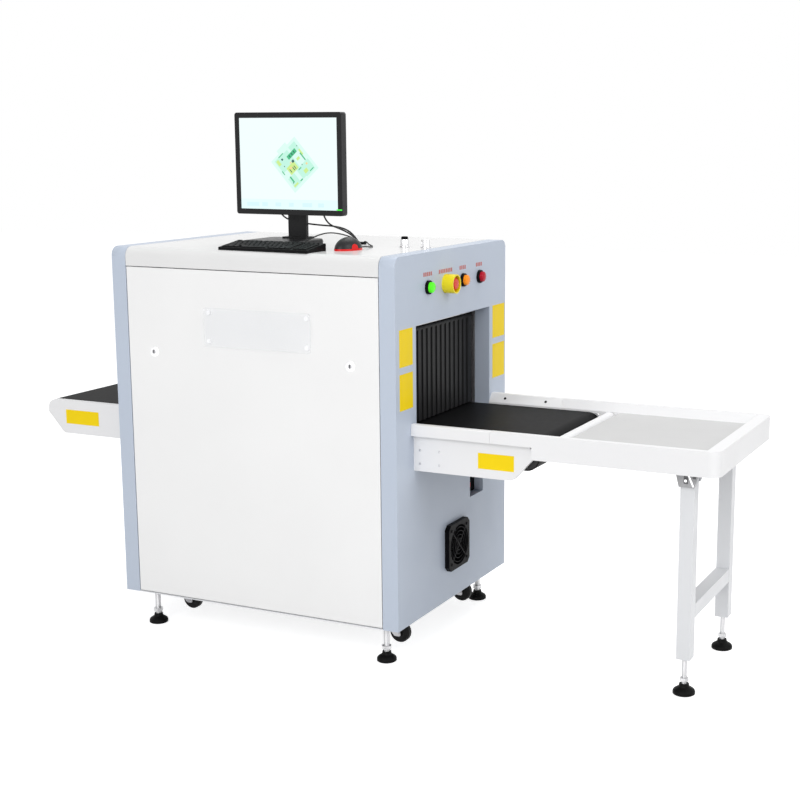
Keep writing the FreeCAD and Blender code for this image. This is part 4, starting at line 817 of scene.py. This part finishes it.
def lock_slots():
    """A dark hexagon on each round lock, and its key slot as a thin black film of painted shade."""
    low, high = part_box("panel_locks")
    z = (low[2] + high[2]) / 2
    radius = (high[2] - low[2]) / 2
    made = bmesh.new()
    for x in (low[0] + radius, high[0] - radius):
        add_disc(made, (x, low[1], z), (0, -1, 0), radius * LOCK_FACE_SHARE, LOCK_FACE_DEPTH, segments=6)
    finish_piece(made, "lock_faces", "caster_steel")
    # Key slots: thin black films of painted shade on the lock faces, not cut keyways
    made = bmesh.new()
    half, reach = LOCK_SLOT_HALF
    near, far = low[1] - 2 * LOCK_FACE_DEPTH, low[1] - 0.75 * LOCK_FACE_DEPTH
    for x in (low[0] + radius, high[0] - radius):
        add_box(made, (x - half, near, z - reach), (x + half, far, z + reach))
    finish_piece(made, "lock_slots", "black_plastic")


# Feet, as (share of the pad's radius, height)

FOOT_RADII = {"foot_pads": (0.029, "cabinet"), "leg_foot_pads": (0.031, "leg_frame")}
FOOT_PROFILE = ((0, 0.0), (0.90, 0.0), (1.0, 0.002), (1.0, 0.009), (0.93, 0.013), (0.72, 0.0175),
                (0.52, 0.021), (0.46, 0.025), (0.44, 0.030), (0, 0.030))


def foot_pads():
    """Rubber pads with a square rim and a domed shoulder."""
    for name, (radius, body) in FOOT_RADII.items():
        low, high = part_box(name)
        xs = sorted({round(low[0] + radius, 5), round(high[0] - radius, 5)})
        made = bmesh.new()
        for x in xs:
            for y in (low[1] + radius, high[1] - radius):
                lathe(made, (x, y, low[2]), (0, 0, 1), [(radius * r, z) for r, z in FOOT_PROFILE])
        bmesh.ops.recalc_face_normals(made, faces=made.faces)
        pads = finish_piece(made, f"{name}_shaped", "foot_rubber", body=body)
        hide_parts(name)


# Brackets of the leg frame

LATCH_TOP = 0.637
LATCH_BASE = 0.590
LATCH_X = (0.9725, 1.0395)
LATCH_SLANT = 0.0115
LATCH_SHEET = 0.0015
SLOTS = ((-0.008, 0.004, 0.010), (0.016, 0.026, 0.025))
SLOT_TOP = 0.006
SLOT_FILM = 0.0004
BOLT_PLACE = (-0.002, 0.019)
BOLT_RADIUS = 0.0045
BOLT_HEIGHT = 0.0040
CATCH_X = (0.009, 0.014)
CATCH_Z = (0.002, 0.004)
CATCH_THICK = 0.004
CATCH_LEAN = math.radians(-24)


def leg_latch():
    """A tapered cheek on each bracket's outer side with a slot drawn as a thin dark film of painted shade,
    a bolt and a bright catch.
    """
    low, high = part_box("leg_brackets")
    cheeks = bmesh.new()
    slot_shade_films = bmesh.new()
    bright = bmesh.new()
    for face, out in ((low[1], -1), (high[1], 1)):
        outer = face + out * LATCH_SHEET
        corners = ((LATCH_X[0], LATCH_TOP), (LATCH_X[1], LATCH_TOP),
                   (LATCH_X[1] - LATCH_SLANT, LATCH_BASE), (LATCH_X[0] + LATCH_SLANT, LATCH_BASE))
        near = [cheeks.verts.new((x, face, z)) for x, z in corners]
        far = [cheeks.verts.new((x, outer, z)) for x, z in corners]
        cheeks.faces.new(near)
        cheeks.faces.new(far)
        for index in range(4):
            after = (index + 1) % 4
            cheeks.faces.new((near[index], near[after], far[after], far[index]))
        middle = (LATCH_X[0] + LATCH_X[1]) / 2
        # The slots are thin dark films of painted shade on the cheek's outer face, not cut openings
        film = sorted((outer, outer + out * SLOT_FILM))
        for near_x, far_x, rise in SLOTS:
            add_box(slot_shade_films, (middle + near_x, film[0], LATCH_BASE + rise),
                    (middle + far_x, film[1], LATCH_TOP - SLOT_TOP))
        bolt = (middle + BOLT_PLACE[0], outer, LATCH_BASE + BOLT_PLACE[1])
        add_disc(bright, bolt, (0, out, 0), BOLT_RADIUS, BOLT_HEIGHT, segments=6)
        reach = sorted((outer, outer + out * CATCH_THICK))
        lean = Matrix.Rotation(CATCH_LEAN, 4, "Y")
        add_box(bright, (middle + CATCH_X[0], reach[0], LATCH_BASE + CATCH_Z[0]),
                (middle + CATCH_X[1], reach[1], LATCH_TOP - CATCH_Z[1]), lean)
    bmesh.ops.recalc_face_normals(cheeks, faces=cheeks.faces)
    finish_piece(cheeks, "bracket_cheeks", "frame_paint", CHEEK, body="cabinet")
    finish_piece(slot_shade_films, "bracket_slot_shade", "caster_steel", SLOT, body="cabinet")
    finish_piece(bright, "bracket_catches", "steel", BRIGHT, edge=0.0004, body="cabinet")


# Curtains

STRIP_COUNT = 16
STRIP_THICK = 0.0028
STRIP_FRONT = 0.0165
STRIP_BACK = 0.0290
SLEEVE_INSET = 0.0002
LAYER_GAP = 0.0004


def curtain_layer(made, outer, outward, bottom, top, width, middles):
    """Strips that drop side by side, with their outer faces in one plane."""
    near, far = sorted((outer, outer - outward * STRIP_THICK))
    for y in middles:
        add_box(made, (near, y - width / 2, bottom), (far, y + width / 2, top))


def curtains():
    """Two layers of hanging strips over a round sleeve, in place of the plain flap."""
    for name, outward in (("curtain_right", 1), ("curtain_left", -1)):
        low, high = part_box(name)
        sleeve = (high[0] - low[0]) / 2
        hang = (low[0] + high[0]) / 2
        top = high[2] - sleeve
        pitch = (high[1] - low[1]) / STRIP_COUNT
        seams = [low[1] + pitch * index for index in range(1, STRIP_COUNT)]
        middles = [low[1] + pitch * (index + 0.5) for index in range(STRIP_COUNT)]
        made = bmesh.new()
        add_disc(made, (hang, low[1], top), (0, 1, 0), sleeve - SLEEVE_INSET, high[1] - low[1], segments=36)
        front = hang + outward * sleeve
        back = front - outward * (STRIP_THICK + LAYER_GAP)
        curtain_layer(made, front, outward, low[2], top, STRIP_FRONT, seams)
        curtain_layer(made, back, outward, low[2], top, STRIP_BACK, middles)
        strips = finish_piece(made, f"{name}_strips", "curtain_rubber", edge=0.0007, body=name)
        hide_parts(name)


# Power inlet, measured from the middle of its face

PINS = ((-0.007, -0.001), (0, 0.004), (0.007, -0.001))
PIN_HALF = (0.001, 0.003)
PIN_DEPTH = (0.004, 0.0006)
ROCKER_HALF = 0.013
ROCKER_Z = (-0.034, -0.018)
ROCKER_RISE = 0.003
RIM_OUTER = (0.020, 0.015)
RIM_INNER = (0.016, 0.012)
RIM_RISE = 0.0015


def inlet_details():
    """Three pins in the socket, a raised rim round it and a rocker switch under it."""
    low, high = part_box("power_inlet")
    y = (low[1] + high[1]) / 2
    z = (low[2] + high[2]) / 2
    face = high[0]
    made = bmesh.new()
    for sideways, up in PINS:
        add_box(made, (face - PIN_DEPTH[0], y + sideways - PIN_HALF[0], z + up - PIN_HALF[1]),
                (face + PIN_DEPTH[1], y + sideways + PIN_HALF[0], z + up + PIN_HALF[1]))
    finish_piece(made, "inlet_pins", "steel")
    made = bmesh.new()
    add_box(made, (face, y - ROCKER_HALF, z + ROCKER_Z[0]),
            (face + ROCKER_RISE, y + ROCKER_HALF, z + ROCKER_Z[1]))
    finish_piece(made, "inlet_switch", "stop_red", edge=0.001)
    made = bmesh.new()
    wide, tall = RIM_OUTER
    inner, window = RIM_INNER
    proud = face + RIM_RISE
    add_box(made, (face, y - wide, z - window), (proud, y - inner, z + window))
    add_box(made, (face, y + inner, z - window), (proud, y + wide, z + window))
    add_box(made, (face, y - wide, z + window), (proud, y + wide, z + tall))
    add_box(made, (face, y - wide, z - tall), (proud, y + wide, z - window))
    finish_piece(made, "inlet_rim", "black_plastic", edge=0.0005)


# Cords, along the same routes as the solids, in metres

CORDS = {
    "screen_power_cord": (0.005, 0.3554, (
        (-0.319, -0.042, 1.317),
        (-0.340, -0.042, 1.317),
        (-0.357, -0.041, 1.302),
        (-0.359, -0.039, 1.280),
        (-0.343, -0.037, 1.262),
        (-0.317, -0.035, 1.252),
        (-0.269, -0.034, 1.245),
        (-0.219, -0.031, 1.241),
        (-0.175, -0.025, 1.239),
        (-0.142, -0.013, 1.231),
        (-0.122, 0.002, 1.213),
        (-0.1115, 0.0165, 1.1865),
    )),
    "screen_video_cord": (0.005, 0.2144, (
        (-0.245, -0.042, 1.317),
        (-0.225, -0.042, 1.317),
        (-0.209, -0.041, 1.302),
        (-0.204, -0.040, 1.279),
        (-0.195, -0.039, 1.257),
        (-0.179, -0.037, 1.242),
        (-0.155, -0.030, 1.233),
        (-0.132, -0.018, 1.221),
        (-0.117, -0.004, 1.206),
        (-0.1075, 0.0105, 1.188),
    )),
    "keyboard_cord": (0.004, 0.2729, (
        (-0.1834, -0.239, 1.196),
        (-0.1828, -0.218, 1.196),
        (-0.178, -0.194, 1.201),
        (-0.170, -0.167, 1.211),
        (-0.159, -0.136, 1.221),
        (-0.146, -0.104, 1.225),
        (-0.133, -0.072, 1.221),
        (-0.121, -0.041, 1.213),
        (-0.110, -0.014, 1.202),
        (-0.1015, 0.009, 1.188),
    )),
    "mouse_cord": (0.004, 0.2031, (
        (-0.0123, -0.1488, 1.190),
        (-0.0073, -0.130, 1.190),
        (-0.006, -0.108, 1.187),
        (-0.011, -0.084, 1.1862),
        (-0.023, -0.061, 1.1864),
        (-0.040, -0.040, 1.1862),
        (-0.057, -0.021, 1.187),
        (-0.073, -0.004, 1.1915),
        (-0.088, 0.009, 1.194),
        (-0.099, 0.018, 1.188),
    )),
}


def cords():
    """Each cord's round jacket as one smooth curve, in place of its solid."""
    for name, (diameter, length, route) in CORDS.items():
        data = bpy.data.curves.new(f"{name}_jacket", "CURVE")
        data.dimensions = "3D"
        data.bevel_depth = diameter / 2
        data.bevel_resolution = 6
        data.resolution_u = 12
        data.use_fill_caps = True
        spline = data.splines.new("NURBS")
        spline.points.add(len(route) - 1)
        for point, place in zip(spline.points, route):
            point.co = (*place, 1)
        spline.order_u = 3
        spline.use_endpoint_u = True
        piece = bpy.data.objects.new(f"{name}_jacket", data)
        bpy.context.scene.collection.objects.link(piece)
        data.materials.append(PAINTS["cord_black"])
        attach(piece, "cabinet")
        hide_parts(name)


bpy.context.scene.view_settings.view_transform = "Standard"
world()
floor()
camera()
for values in LAMPS:
    lamp(*values)
dress_nodes()
stickers()
captions()
screws()
screen_picture()
screen_light()
screen_foot()
keyboard_keys()
mouse_details()
lamp_faces()
switches()
lock_slots()
foot_pads()
leg_latch()
curtains()
inlet_details()
cords()
